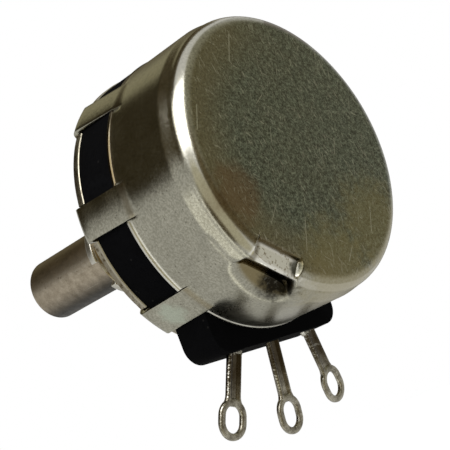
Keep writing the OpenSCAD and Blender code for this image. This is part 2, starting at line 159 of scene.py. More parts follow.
class MeshBuilder:
    """Collects grids of points in millimetres and turns them into one object."""

    def __init__(self) -> None:
        """Starts an empty mesh."""
        self._points: List[np.ndarray] = []
        self._faces: List[Tuple[int, ...]] = []
        self._count = 0

    def points(self, block: np.ndarray) -> np.ndarray:
        """Adds points.

        Args:
            block: Array of points with the last axis of length 3.

        Returns:
            Their indices, shaped as the block without its last axis.
        """
        flat = np.asarray(block, float).reshape(-1, 3)
        index = np.arange(self._count, self._count + len(flat)).reshape(block.shape[:-1])
        self._points.append(flat)
        self._count += len(flat)
        return index

    def skin(self, index: np.ndarray, wrap_rows: bool = False, wrap_columns: bool = False) -> None:
        """Covers a grid of indices with quads.

        Args:
            index: Grid of point indices.
            wrap_rows: Whether the last row joins the first.
            wrap_columns: Whether the last column joins the first.
        """
        if wrap_rows:
            index = np.vstack([index, index[:1]])
        if wrap_columns:
            index = np.hstack([index, index[:, :1]])
        quads = np.stack([index[:-1, :-1], index[:-1, 1:], index[1:, 1:], index[1:, :-1]], axis=-1)
        self._faces.extend(tuple(q) for q in quads.reshape(-1, 4).tolist())

    def face(self, loop: Sequence[int]) -> None:
        """Adds one face, given its point indices in order."""
        self._faces.append(tuple(int(i) for i in loop))

    def fan(self, row: np.ndarray, y: float) -> None:
        """Closes a ring of points with triangles.

        Args:
            row: Indices of the ring.
            y: Place along Y of the middle, on the axis.
        """
        middle = self.points(np.array([[0.0, y, 0.0]]))[0]
        for a, b in zip(row, np.roll(row, -1)):
            self.face([middle, b, a])

    def tube(self, sections: np.ndarray) -> None:
        """Adds a tube of closed sections, one a row, with capped ends.

        Args:
            sections: Grid of points.
        """
        index = self.points(sections)
        self.skin(index, wrap_columns=True)
        self.face(index[0])
        self.face(index[-1][::-1])

    def box(self, low: Point3, high: Point3, place: Optional[Matrix] = None) -> None:
        """Adds a box.

        Args:
            low: Lowest corner.
            high: Highest corner.
            place: Matrix that lays the box in the frame.
        """
        corners = np.array([[(low, high)[(k >> a) & 1][a] for a in range(3)] for k in range(8)], float)
        i = self.points(corners if place is None else placed(corners, place))
        for loop in ((0, 2, 3, 1), (4, 5, 7, 6), (0, 1, 5, 4), (2, 6, 7, 3), (0, 4, 6, 2), (1, 3, 7, 5)):
            self.face([i[k] for k in loop])

    def build(self, name: str, outward: bool = True) -> bpy.types.Object:
        """Makes the object.

        Args:
            name: Name of the object.
            outward: Whether normals are worked out again, for closed meshes.

        Returns:
            The new object, linked to the scene.
        """
        mesh = bpy.data.meshes.new(name)
        points = np.concatenate(self._points) * MM
        mesh.from_pydata([tuple(p) for p in points.tolist()], [], self._faces)
        if outward:
            bm = bmesh.new()
            bm.from_mesh(mesh)
            bmesh.ops.remove_doubles(bm, verts=bm.verts, dist=1e-7)
            bmesh.ops.recalc_face_normals(bm, faces=bm.faces)
            bm.to_mesh(mesh)
            bm.free()
        obj = bpy.data.objects.new(name, mesh)
        bpy.context.scene.collection.objects.link(obj)
        return obj


def shade_smooth(mesh: bpy.types.Mesh, sharp_angle: float) -> None:
    """Shades a mesh smooth but for its sharp edges.

    Args:
        mesh: The mesh.
        sharp_angle: Angle in degrees above which an edge stays sharp.
    """
    for polygon in mesh.polygons:
        polygon.use_smooth = True
    mesh.set_sharp_from_angle(angle=math.radians(sharp_angle))


def bake(obj: bpy.types.Object, sharp_angle: float = 38.0) -> bpy.types.Object:
    """Applies an object's modifiers and shades it smooth but for its sharp edges.

    Args:
        obj: The object to bake.
        sharp_angle: Angle in degrees above which an edge stays sharp.

    Returns:
        The same object.
    """
    graph = bpy.context.evaluated_depsgraph_get()
    graph.update()
    mesh = bpy.data.meshes.new_from_object(obj.evaluated_get(graph))
    obj.modifiers.clear()
    obj.data = mesh
    shade_smooth(mesh, sharp_angle)
    return obj


def add_bevel(obj: bpy.types.Object, width: float, segments: int = 2, angle: float = 35.0) -> None:
    """Rounds an object's sharp edges.

    Args:
        obj: The object.
        width: Width of the rounding in millimetres.
        segments: Segments across the rounding.
        angle: Angle in degrees above which an edge is rounded.
    """
    bevel = obj.modifiers.new("edge_rounding", "BEVEL")
    bevel.width = width * MM
    bevel.segments = segments
    bevel.limit_method = "ANGLE"
    bevel.angle_limit = math.radians(angle)
    bevel.use_clamp_overlap = True


# Shader graphs


class Graph:
    """Short hand for building node trees."""

    def __init__(self, tree: bpy.types.NodeTree) -> None:
        """Wraps the node tree to build in."""
        self.tree = tree

    def node(self, kind: str, inputs: Optional[Inputs] = None, **settings: object) -> Node:
        """Adds a node.

        Args:
            kind: Type of the node.
            inputs: Values or sockets by input name or number.
            **settings: Properties of the node.

        Returns:
            The node.
        """
        made = self.tree.nodes.new(kind)
        for name, value in settings.items():
            setattr(made, name, value)
        for name, value in (inputs or {}).items():
            self.put(made.inputs[name], value)
        return made

    def put(self, socket: Socket, value: Value) -> None:
        """Links a socket or sets a value.

        Args:
            socket: Input to fill.
            value: Output socket, number, colour or vector.
        """
        if isinstance(value, bpy.types.NodeSocket):
            self.tree.links.new(value, socket)
        elif socket.type == "RGBA" and len(value) == 3:
            socket.default_value = (*value, 1.0)
        else:
            socket.default_value = value

    def math(self, operation: str, a: Value, b: Value = 0.0, clamp: bool = False) -> Socket:
        """Adds a scalar operation, clamped to 0 and 1 if asked, and returns its result."""
        return self.node("ShaderNodeMath", {0: a, 1: b}, operation=operation, use_clamp=clamp).outputs[0]

    def product(self, *factors: Value) -> Value:
        """Multiplies numbers and sockets.

        Args:
            *factors: What to multiply.

        Returns:
            The product.
        """
        result = factors[0]
        for factor in factors[1:]:
            result = self.math("MULTIPLY", result, factor)
        return result

    def above(self, value: Value, limit: Value, sharpness: float) -> Socket:
        """Mask that rises from 0 at the limit, the steeper the sharper."""
        return self.math("MULTIPLY", self.math("SUBTRACT", value, limit), sharpness, clamp=True)

    def vector(self, operation: str, a: Value, b: Optional[Value] = None) -> Node:
        """Adds a vector operation on one or two vectors and returns its node."""
        inputs = {0: a} if b is None else {0: a, 1: b}
        return self.node("ShaderNodeVectorMath", inputs, operation=operation)

    def dot(self, a: Value, b: Value) -> Socket:
        """Dot product of two vectors."""
        return self.vector("DOT_PRODUCT", a, b).outputs["Value"]

    def scaled(self, vector: Value, factor: Value) -> Socket:
        """Vector times a number."""
        inputs = {0: vector, "Scale": factor}
        return self.node("ShaderNodeVectorMath", inputs, operation="SCALE").outputs[0]

    def split(self, vector: Value) -> List[Socket]:
        """The three parts of a vector."""
        return list(self.node("ShaderNodeSeparateXYZ", {0: vector}).outputs)

    def step(self, value: Value, start: Value, end: Value) -> Socket:
        """Adds a smooth step.

        Args:
            value: Value to map.
            start: Value that gives 0.
            end: Value that gives 1, above or below the start.

        Returns:
            The step's socket.
        """
        falls = not isinstance(start, bpy.types.NodeSocket) and start > end
        low, high = (end, start) if falls else (start, end)
        given = {"Value": value, "From Min": low, "From Max": high,
                 "To Min": float(falls), "To Max": float(not falls)}
        made = self.node("ShaderNodeMapRange", given, interpolation_type="SMOOTHSTEP", clamp=True)
        return made.outputs["Result"]

    def mix(self, factor: Value, a: Value, b: Value) -> Socket:
        """Mixes two colours.

        Args:
            factor: Share of the second.
            a: First colour.
            b: Second colour.

        Returns:
            The colour's socket.
        """
        made = self.node("ShaderNodeMix", data_type="RGBA", clamp_factor=True)
        for place, value in ((0, factor), (6, a), (7, b)):
            self.put(made.inputs[place], value)
        return made.outputs[2]

    def tint(self, colour: Value, other: Value, mask: Value, strength: Value) -> Socket:
        """Mixes another colour in where a mask lies, as strong as told."""
        return self.mix(self.product(mask, strength), colour, other)

    def noise(self, where: Value, scale: float, detail: float = 3.0, rough: float = 0.5) -> Socket:
        """Adds a noise texture, its scale per metre, and returns its value."""
        given = {"Vector": where, "Scale": scale, "Detail": detail, "Roughness": rough}
        return self.node("ShaderNodeTexNoise", given).outputs[0]

    def group(self, tree: bpy.types.NodeTree, inputs: Dict[str, Value]) -> Node:
        """Adds a shared effect.

        Args:
            tree: The effect's node group.
            inputs: Values or sockets by input name.

        Returns:
            The group node.
        """
        made = self.node("ShaderNodeGroup", node_tree=tree)
        for name, value in inputs.items():
            self.put(made.inputs[name], value)
        return made


class EffectGraph(Graph):
    """Node group of a shared effect, with its named inputs and outputs."""

    KINDS = {"value": "NodeSocketFloat", "vector": "NodeSocketVector"}

    def __init__(self, name: str, inputs: Dict[str, Optional[Value]], outputs: Sequence[str]) -> None:
        """Makes the group.

        Args:
            name: Name of the group.
            inputs: Default of each input: a number, a vector, or None for a vector that is always linked.
            outputs: Names of its outputs, all of them numbers.
        """
        super().__init__(bpy.data.node_groups.new(name, "ShaderNodeTree"))
        interface = self.tree.interface
        for label, value in inputs.items():
            kind = self.KINDS["value" if isinstance(value, float) else "vector"]
            socket = interface.new_socket(name=label, in_out="INPUT", socket_type=kind)
            if value is not None:
                socket.default_value = value
        for label in outputs:
            interface.new_socket(name=label, in_out="OUTPUT", socket_type=self.KINDS["value"])
        self.given = self.tree.nodes.new("NodeGroupInput").outputs
        self.out = self.tree.nodes.new("NodeGroupOutput").inputs


class Effects:
    """Shared shader effects, each a node group that is built once."""

    def __init__(self) -> None:
        """Builds the groups."""
        self.mottle = self._mottle()
        self.hairlines = self._hairlines()
        self.stroke = self._stroke()
        self.stain = self._stain()
        self.specks = self._specks()
        self.edge = self._edge()
        self.panel = self._panel()
        LOG.info("effects: %d shader groups", len(vars(self)))

    @staticmethod
    def _mottle() -> bpy.types.NodeTree:
        """Cloudy variation at two scales.

        Returns:
            The node group.
        """
        g = EffectGraph("mottle", {"Vector": None, "Scale": 300.0, "Contrast": 1.0}, ["Value", "Fine"])
        finer, coarse_share, gain = 7.3, 0.6, 3.0
        where = g.scaled(g.given["Vector"], g.given["Scale"])
        coarse, fine = g.noise(where, 1.0, 4.0, 0.6), g.noise(where, finer, 3.0, 0.65)
        both = g.math("ADD", g.product(coarse, coarse_share), g.product(fine, 1.0 - coarse_share))
        spread = g.product(g.math("SUBTRACT", both, 0.5), g.given["Contrast"], gain)
        g.put(g.out["Value"], g.math("ADD", spread, 0.5, clamp=True))
        g.put(g.out["Fine"], fine)
        return g.tree

    @staticmethod
    def _hairlines() -> bpy.types.NodeTree:
        """Fine parallel lines, broken up along their length.

        Returns:
            The node group.
        """
        inputs = {"Vector": None, "Rotation": (0.0, 0.0, 0.0), "Scale": 900.0,
                  "Stretch": 14.0, "Threshold": 0.66}
        g = EffectGraph("hairlines", inputs, ["Mask"])
        aim = {"Vector": g.given["Vector"], "Rotation": g.given["Rotation"]}
        x, y, z = g.split(g.node("ShaderNodeVectorRotate", aim, rotation_type="EULER_XYZ").outputs[0])
        drawn = g.node("ShaderNodeCombineXYZ", {0: g.math("DIVIDE", x, g.given["Stretch"]), 1: y, 2: z})
        lines = g.noise(g.scaled(drawn.outputs[0], g.given["Scale"]), 1.0, 2.0, 0.4)
        g.put(g.out["Mask"], g.above(lines, g.given["Threshold"], 16.0))
        return g.tree

    @staticmethod
    def _stroke() -> bpy.types.NodeTree:
        """One straight scratch between two points.

        Returns:
            The node group.
        """
        inputs = {"Vector": None, "Start": (0.0, 0.0, 0.0), "End": (0.0, 0.0, 0.01), "Width": 0.00012}
        g = EffectGraph("stroke", inputs, ["Mask"])
        span = g.vector("SUBTRACT", g.given["End"], g.given["Start"]).outputs[0]
        offset = g.vector("SUBTRACT", g.given["Vector"], g.given["Start"]).outputs[0]
        along = g.math("DIVIDE", g.dot(offset, span), g.dot(span, span), clamp=True)
        gap = g.vector("DISTANCE", offset, g.scaled(span, along)).outputs["Value"]
        border, core = 1.0, 0.3
        g.put(g.out["Mask"], g.step(g.math("DIVIDE", gap, g.given["Width"]), border, core))
        return g.tree

    @staticmethod
    def _stain() -> bpy.types.NodeTree:
        """Soft blotch with a ragged edge round a point.

        Returns:
            The node group.
        """
        inputs = {"Vector": None, "Centre": (0.0, 0.0, 0.0), "Radius": 0.003, "Ragged": 0.6}
        g = EffectGraph("stain", inputs, ["Mask"])
        gap = g.vector("DISTANCE", g.given["Vector"], g.given["Centre"]).outputs["Value"]
        scale, gain, border, core = 900.0, 2.6, 1.15, 0.45
        noise = g.math("SUBTRACT", g.noise(g.given["Vector"], scale, 5.0, 0.65), 0.5)
        ragged = g.product(noise, g.given["Ragged"], gain)
        share = g.math("ADD", g.math("DIVIDE", gap, g.given["Radius"]), ragged)
        g.put(g.out["Mask"], g.step(share, border, core))
        return g.tree

    @staticmethod
    def _specks() -> bpy.types.NodeTree:
        """Scattered small dots.

        Returns:
            The node group.
        """
        g = EffectGraph("specks", {"Vector": None, "Scale": 1800.0, "Amount": 0.5}, ["Mask"])
        aim = {"Vector": g.given["Vector"], "Scale": g.given["Scale"], "Randomness": 1.0}
        cells = g.node("ShaderNodeTexVoronoi", aim).outputs
        chosen = g.node("ShaderNodeSeparateColor", {0: cells["Color"]}).outputs[0]
        kept = g.math("LESS_THAN", chosen, g.given["Amount"])
        border, core = 0.34, 0.16
        g.put(g.out["Mask"], g.product(g.step(cells["Distance"], border, core), kept))
        return g.tree

    @staticmethod
    def _edge() -> bpy.types.NodeTree:
        """Wear and painted highlight along convex edges, broken up by noise, and darkening in the hollows.

        Returns:
            The node group.
        """
        g = EffectGraph("edge_wear_and_highlight", {"Vector": None, "Start": 0.52, "Scale": 2500.0}, ["Mask", "Hollow"])
        sharpness, gaps, hollow = 14.0, (0.3, 0.55), (0.49, 0.42)
        point = g.node("ShaderNodeNewGeometry").outputs["Pointiness"]
        broken = g.noise(g.scaled(g.given["Vector"], g.given["Scale"]), 1.0, 3.0, 0.6)
        # Mask: convex edges, worn and given painted highlight; Hollow: darker in the hollows.
        g.put(g.out["Mask"], g.product(g.above(point, g.given["Start"], sharpness), g.step(broken, *gaps)))
        g.put(g.out["Hollow"], g.step(point, *hollow))
        return g.tree

    @staticmethod
    def _panel() -> bpy.types.NodeTree:
        """Soft-edged round patch of directions, cut off below and above along Y.

        Returns:
            The node group.
        """
        inputs = {"Direction": None, "Centre": (0.0, 0.0, 1.0), "Inner": 0.9, "Outer": 0.8,
                  "Low": -2.0, "High": 2.0}
        g = EffectGraph("direction_panel", inputs, ["Mask"])
        unit = g.vector("NORMALIZE", g.given["Centre"]).outputs[0]
        near = g.step(g.dot(g.given["Direction"], unit), g.given["Outer"], g.given["Inner"])
        sharpness = 20.0
        along = g.split(g.given["Direction"])[1]
        above = g.above(along, g.given["Low"], sharpness)
        below = g.above(g.given["High"], along, sharpness)
        g.put(g.out["Mask"], g.product(near, above, below))
        return g.tree


# Finishes


@dataclass(frozen=True)
class Cloud:
    """Scale and contrast of a cloudy variation."""

    scale: float
    contrast: float

    def add(self, g: Graph, effects: Effects, where: Socket) -> Node:
        """Adds the variation and returns its node."""
        return g.group(effects.mottle, {"Vector": where, "Scale": self.scale, "Contrast": self.contrast})


@dataclass(frozen=True)
class Dots:
    """Scattered dots of another colour."""

    scale: float
    amount: float
    strength: float
    colour: Colour

    def over(self, g: Graph, effects: Effects, where: Socket, colour: Value, mask: Value = 1.0) -> Socket:
        """Strews the dots over a colour, where a mask lets them lie."""
        dots = g.group(effects.specks, {"Vector": where, "Scale": self.scale, "Amount": self.amount})
        return g.tint(colour, self.colour, g.product(dots.outputs[0], mask), self.strength)


@dataclass(frozen=True)
class Stroke:
    """A single scratch on a surface, in millimetres."""

    start: Point3
    end: Point3
    width: float = 0.1
    strength: float = 0.8


@dataclass(frozen=True)
class Stain:
    """A blotch of another colour, in millimetres."""

    centre: Point3
    radius: float
    colour: Colour
    strength: float = 0.8
    ragged: float = 0.6


@dataclass(frozen=True)
class Shade:
    """Colour that grows along a direction, in millimetres: painted shade on the shaft, darker and lighter
    bands elsewhere.
    """

    axis: Point3
    start: float
    end: float
    colour: Colour
    strength: float = 0.8


@dataclass(frozen=True)
class Hair:
    """Fine scratches that all run one way."""

    turn: float
    scale: float
    threshold: float


class Measure(Enum):
    """Measures of a place on the cover, the last three taken by the chord of the pocket."""

    X = "x"
    Y = "y"
    Z = "z"
    RADIUS = "distance from the shaft axis"
    ACROSS = "distance from the axis square to the chord"
    ALONG = "place along the chord"
    BESIDE = "distance from the pocket's middle along the chord"


Edge = Tuple[Measure, float, float]
Places = Dict[Measure, Socket]


@dataclass(frozen=True)
class Zone:
    """Part of the cover in another tone, mostly painted highlight and shade. Each edge says by which measure
    it starts and where it is full.
    """

    colour: Colour
    strength: float
    edges: Tuple[Edge, ...]
    rubbed: Optional[Colour] = None


class Finish(ABC):
    """A finish that can be made into a material."""

    name: str

    def material(self, effects: Effects) -> bpy.types.Material:
        """Builds the material.

        Args:
            effects: Shared shader effects.

        Returns:
            The material.
        """
        made = bpy.data.materials.new(self.name)
        made.use_nodes = True
        made.node_tree.nodes.clear()
        g = Graph(made.node_tree)
        shader = g.node("ShaderNodeBsdfPrincipled")
        g.node("ShaderNodeOutputMaterial", {"Surface": shader.outputs[0]})
        where = g.node("ShaderNodeTexCoord").outputs["Object"]
        self.fill(g, shader, where, effects)
        return made

    @abstractmethod
    def fill(self, g: Graph, shader: Node, where: Socket, effects: Effects) -> None:
        """Fills in the shader's inputs, from object coordinates in metres and the shared effects."""

    @staticmethod
    def bump(g: Graph, shader: Node, height: Socket, strength: float, depth: float) -> None:
        """Bumps the shader's normal by a height that stands for a depth in millimetres."""
        made = g.node("ShaderNodeBump", {"Height": height, "Strength": strength, "Distance": depth * MM})
        g.put(shader.inputs["Normal"], made.outputs[0])


def in_metres(point: Point3) -> Point3:
    """A point in millimetres, given in metres."""
    return point[0] * MM, point[1] * MM, point[2] * MM


def toned(colour: Colour, share: float) -> Colour:
    """A colour made darker or lighter."""
    return colour[0] * share, colour[1] * share, colour[2] * share


@dataclass(frozen=True)
class CoverFinish(Finish):
    """Dull plated sheet, tarnished on its rear face and marked by handling, with painted reflection,
    highlight and shade.
    """

    name: str = "cover_metal"
    base: Colour = (0.435, 0.42, 0.348)
    base_grain: Colour = (0.2, 0.19, 0.14)
    base_range: Point2 = (0.82, 1.14)
    base_grained: float = 0.5
    # Rear face: tarnish together with painted dark reflection.
    tarnish: Colour = (0.19, 0.215, 0.17)
    tarnish_grain: Colour = (0.035, 0.036, 0.025)
    tarnish_range: Point2 = (0.35, 1.75)
    tarnish_grained: float = 0.72
    brown: Colour = (0.2, 0.13, 0.05)
    browned: float = 0.16
    # Painted gold reflection on one side of the face's rim.
    gold: Colour = (0.235, 0.2, 0.115)
    gold_grain: float = 0.3
    gold_grained: float = 0.4
    gold_reflection_strength: float = 0.75
    # bare: colour of scratches, worn edges and the painted edge highlight.
    bare: Colour = (0.6, 0.58, 0.48)
    worn_and_highlit_edges: float = 0.1
    # Darker colour for the hollows.
    crevice: Colour = (0.06, 0.045, 0.02)
    crevice_darkening: float = 0.5
    cloud: Cloud = Cloud(420.0, 0.8)
    fine: Cloud = Cloud(2300.0, 1.5)
    broad: Cloud = Cloud(110.0, 0.9)
    grain_scale: float = 5200.0
    grain: Point2 = (0.34, 0.66)
    rubbing_scale: float = 2600.0
    rubbing: Point2 = (0.54, 0.68)
    pitting_scale: float = 260.0
    pitting: Point2 = (0.4, 0.62)
    specks: Dots = Dots(3600.0, 0.09, 0.55, (0.06, 0.05, 0.03))
    pits: Dots = Dots(4700.0, 0.4, 0.75, (0.025, 0.026, 0.017))
    face: Tuple[Edge, ...] = ((Measure.Y, 14.3, 14.7), (Measure.RADIUS, 12.45, 11.85))
    # Where the painted gold reflection lies.
    face_rim: Tuple[Edge, ...] = ((Measure.RADIUS, 7.0, 11.6), (Measure.X, -4.0, 5.0))
    underside: Tuple[Edge, ...] = ((Measure.Z, -9.5, -12.0),)
    pocket_middle: float = 1.55
    hairs: Tuple[Hair, ...] = (Hair(1.35, 8200.0, 0.655), Hair(1.95, 7000.0, 0.675), Hair(0.6, 7600.0, 0.69))
    hair_stretch: float = 8.0
    hair_strength: float = 0.08
    hair_strength_on_face: float = 0.34
    scratch_depth: float = 0.6
    roughness: float = 0.13
    uneven: float = 0.1
    rougher_face: float = 0.08
    rougher_underside: float = 0.12
    bump_strength: float = 0.3
    bump_depth: float = 0.01
    zones: Tuple[Zone, ...] = ()
    strokes: Tuple[Stroke, ...] = ()
    stains: Tuple[Stain, ...] = ()

    def fill(self, g: Graph, shader: Node, where: Socket, effects: Effects) -> None:
        """Lays wall and face, then zones (most of them painted highlight and shade), stains, scratches and
        pits over them.

        Args:
            g: Graph of the material.
            shader: Its principled shader.
            where: Object coordinates in metres.
            effects: Shared shader effects.
        """
        at = self._measures(g, where)
        cloud = self.cloud.add(g, effects, where).outputs["Value"]
        fine = self.fine.add(g, effects, where).outputs
        grain = g.step(g.noise(where, self.grain_scale, 2.0, 0.6), *self.grain)
        face = self._mask(g, at, self.face)
        wall = g.mix(cloud, *(toned(self.base, share) for share in self.base_range))
        wall = g.tint(wall, self.base_grain, grain, self.base_grained)
        broad = self.broad.add(g, effects, where).outputs["Value"]
        colour = g.mix(face, wall, self._face(g, at, grain, fine["Value"], broad))
        colour = self._stained(g, effects, where, self._zoned(g, at, where, colour))
        marks = self._marks(g, effects, where, face)
        edge = g.group(effects.edge, {"Vector": where}).outputs
        # Scratches, and convex edges worn and given painted highlight.
        wear_and_highlight = g.math("MAXIMUM", marks, g.product(edge["Mask"], self.worn_and_highlit_edges))
        colour = self.specks.over(g, effects, where, g.mix(wear_and_highlight, colour, self.bare))
        pitting = g.step(g.noise(where, self.pitting_scale, 4.0, 0.6), *self.pitting)
        colour = self.pits.over(g, effects, where, colour, g.product(face, pitting))
        # Darker in the hollows.
        colour = g.tint(colour, self.crevice, edge["Hollow"], self.crevice_darkening)
        g.put(shader.inputs["Base Color"], colour)
        shader.inputs["Metallic"].default_value = 1.0
        underside = self._mask(g, at, self.underside)
        rough = g.math("ADD", self.roughness, g.product(cloud, self.uneven))
        rough = g.math("ADD", rough, g.product(face, self.rougher_face))
        rough = g.math("ADD", rough, g.product(underside, self.rougher_underside))
        g.put(shader.inputs["Roughness"], rough)
        height = g.math("SUBTRACT", fine["Fine"], g.product(marks, self.scratch_depth))
        self.bump(g, shader, height, self.bump_strength, self.bump_depth)

    def _measures(self, g: Graph, where: Socket) -> Places:
        """Works out every measure of a place.

        Args:
            g: Graph of the material.
            where: Object coordinates in metres.

        Returns:
            The sockets, in metres.
        """
        x, y, z = g.split(where)
        radius = g.math("SQRT", g.math("ADD", g.product(x, x), g.product(z, z)))
        chord = math.radians(PocketSizes.angle + PocketSizes.skew)
        across = g.dot(where, (math.cos(chord), 0.0, math.sin(chord)))
        along = g.dot(where, (-math.sin(chord), 0.0, math.cos(chord)))
        beside = g.math("ABSOLUTE", g.math("SUBTRACT", along, self.pocket_middle * MM))
        return dict(zip(Measure, (x, y, z, radius, across, along, beside)))

    @staticmethod
    def _mask(g: Graph, at: Places, edges: Sequence[Edge]) -> Value:
        """Mask inside soft edges."""
        return g.product(*(g.step(at[measure], start * MM, end * MM) for measure, start, end in edges))

    def _face(self, g: Graph, at: Places, grain: Socket, fine: Socket, broad: Socket) -> Socket:
        """Colour of the rear face, tarnished and darkened by painted reflection, with painted gold
        reflection towards its rim on one side.

        Args:
            g: Graph of the material.
            at: Measures of the place.
            grain: Value of the metal's grain.
            fine: Value of the fine variation.
            broad: Value of the broad variation.

        Returns:
            The colour's socket.
        """
        dull = g.mix(fine, *(toned(self.tarnish, share) for share in self.tarnish_range))
        dull = g.tint(dull, self.tarnish_grain, grain, self.tarnish_grained)
        dull = g.tint(dull, self.brown, broad, self.browned)
        # Painted gold reflection towards the rim.
        gold = g.tint(self.gold, toned(self.gold, self.gold_grain), grain, self.gold_grained)
        return g.tint(dull, gold, self._mask(g, at, self.face_rim), self.gold_reflection_strength)

    def _zoned(self, g: Graph, at: Places, where: Socket, colour: Socket) -> Socket:
        """Lays the zones over a colour.

        Args:
            g: Graph of the material.
            at: Measures of the place.
            where: Object coordinates in metres.
            colour: The colour below.

        Returns:
            The colour's socket.
        """
        for zone in self.zones:
            tone = zone.colour
            if zone.rubbed:
                patches = g.step(g.noise(where, self.rubbing_scale, 3.0, 0.6), *self.rubbing)
                tone = g.mix(patches, zone.colour, zone.rubbed)
            colour = g.tint(colour, tone, self._mask(g, at, zone.edges), zone.strength)
        return colour

    def _stained(self, g: Graph, effects: Effects, where: Socket, colour: Socket) -> Socket:
        """Lays the stains over a colour.

        Args:
            g: Graph of the material.
            effects: Shared shader effects.
            where: Object coordinates in metres.
            colour: The colour below.

        Returns:
            The colour's socket.
        """
        for stain in self.stains:
            spot = g.group(effects.stain, {"Vector": where, "Centre": in_metres(stain.centre),
                                           "Radius": stain.radius * MM, "Ragged": stain.ragged})
            colour = g.tint(colour, stain.colour, spot.outputs[0], stain.strength)
        return colour

    def _marks(self, g: Graph, effects: Effects, where: Socket, face: Socket) -> Value:
        """Mask of the scratches, which show most on the face.

        Args:
            g: Graph of the material.
            effects: Shared shader effects.
            where: Object coordinates in metres.
            face: Mask of the face.

        Returns:
            The mask's socket.
        """
        marks: Value = 0.0
        for hair in self.hairs:
            lines = g.group(effects.hairlines, {"Vector": where, "Rotation": (0.0, hair.turn, 0.0),
                                                "Scale": hair.scale, "Stretch": self.hair_stretch,
                                                "Threshold": hair.threshold})
            marks = g.math("MAXIMUM", marks, lines.outputs[0])
        strength = g.math("ADD", self.hair_strength, g.product(face, self.hair_strength_on_face))
        marks = g.product(marks, strength)
        for stroke in self.strokes:
            line = g.group(effects.stroke, {"Vector": where, "Start": in_metres(stroke.start),
                                            "End": in_metres(stroke.end), "Width": stroke.width * MM})
            marks = g.math("MAXIMUM", marks, g.product(line.outputs[0], stroke.strength))
        return marks


@dataclass(frozen=True)
class MetalFinish(Finish):
    """Plain metal with mottling, hairlines, worn edges with painted highlight, darkening in hollows, and
    specks.
    """

    name: str = "metal"
    base: Colour = (0.5, 0.5, 0.5)
    dark: Colour = (0.1, 0.09, 0.07)
    roughness: float = 0.3
    tarnish: float = 0.3
    scale: float = 500.0
    line_rotation: Point3 = (0.0, 0.0, 0.0)
    lines: float = 0.3
    hollow: float = 0.7
    # Colour of worn edges and hairlines, also the painted edge highlight.
    wear_and_highlight: Colour = (0.7, 0.68, 0.6)
    bump_depth: float = 0.012
    contrast: float = 1.2
    line_scale: float = 2600.0
    edge_wear_and_highlight: float = 0.8
    speck_scale: float = 2200.0
    speck_amount: float = 0.12
    speck_strength: float = 0.5
    uneven: float = 0.15
    bump_strength: float = 0.5
    shades: Tuple[Shade, ...] = ()

    def fill(self, g: Graph, shader: Node, where: Socket, effects: Effects) -> None:
        """Lays tarnish, shades, wear and painted edge highlight, hairlines, darkening in hollows and specks
        over the metal.

        Args:
            g: Graph of the material.
            shader: Its principled shader.
            where: Object coordinates in metres.
            effects: Shared shader effects.
        """
        cloud = Cloud(self.scale, self.contrast).add(g, effects, where).outputs
        colour = g.tint(self.base, self.dark, cloud["Value"], self.tarnish)
        for shade in self.shades:
            cover = g.step(g.dot(where, shade.axis), shade.start * MM, shade.end * MM)
            colour = g.tint(colour, shade.colour, cover, shade.strength)
        hair = g.group(effects.hairlines, {"Vector": where, "Rotation": self.line_rotation,
                                           "Scale": self.line_scale})
        edge = g.group(effects.edge, {"Vector": where}).outputs
        # Convex edges lightened: wear and painted highlight.
        colour = g.tint(colour, self.wear_and_highlight, edge["Mask"], self.edge_wear_and_highlight)
        colour = g.tint(colour, self.wear_and_highlight, hair.outputs[0], self.lines)
        # Darker in the hollows.
        colour = g.tint(colour, self.dark, edge["Hollow"], self.hollow)
        specks = Dots(self.speck_scale, self.speck_amount, self.speck_strength, self.dark)
        g.put(shader.inputs["Base Color"], specks.over(g, effects, where, colour))
        shader.inputs["Metallic"].default_value = 1.0
        uneven = g.product(cloud["Value"], self.uneven)
        g.put(shader.inputs["Roughness"], g.math("ADD", self.roughness, uneven))
        self.bump(g, shader, cloud["Fine"], self.bump_strength, self.bump_depth)


@dataclass(frozen=True)
class MouldedFinish(Finish):
    """Filled moulded plastic with a fine grain."""

    name: str = "moulding"
    base: Colour = (0.0012, 0.0012, 0.0014)
    pale: Colour = (0.004, 0.004, 0.0045)
    roughness: float = 0.7
    shine: float = 0.02
    cloud: Cloud = Cloud(900.0, 0.8)
    cloudy: float = 0.35
    edge_wear_and_highlight: float = 0.4
    uneven: float = 0.15
    dust: Dots = Dots(2600.0, 0.03, 0.07, (0.1, 0.09, 0.08))
    bump_strength: float = 0.4
    bump_depth: float = 0.01

    def fill(self, g: Graph, shader: Node, where: Socket, effects: Effects) -> None:
        """Lays paler clouds, worn edges with painted highlight, and dust over the plastic.

        Args:
            g: Graph of the material.
            shader: Its principled shader.
            where: Object coordinates in metres.
            effects: Shared shader effects.
        """
        cloud = self.cloud.add(g, effects, where).outputs
        colour = g.tint(self.base, self.pale, cloud["Value"], self.cloudy)
        edge = g.group(effects.edge, {"Vector": where}).outputs["Mask"]
        # Paler convex edges: wear and painted highlight.
        colour = g.tint(colour, self.pale, edge, self.edge_wear_and_highlight)
        g.put(shader.inputs["Base Color"], self.dust.over(g, effects, where, colour))
        shader.inputs["Metallic"].default_value = 0.0
        shader.inputs["Specular IOR Level"].default_value = self.shine
        uneven = g.product(cloud["Value"], self.uneven)
        g.put(shader.inputs["Roughness"], g.math("ADD", self.roughness, uneven))
        self.bump(g, shader, cloud["Fine"], self.bump_strength, self.bump_depth)


# Pieces


class Body(Enum):
    """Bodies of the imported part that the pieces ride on."""

    HOUSING = "housing"
    ROTOR = "rotor"


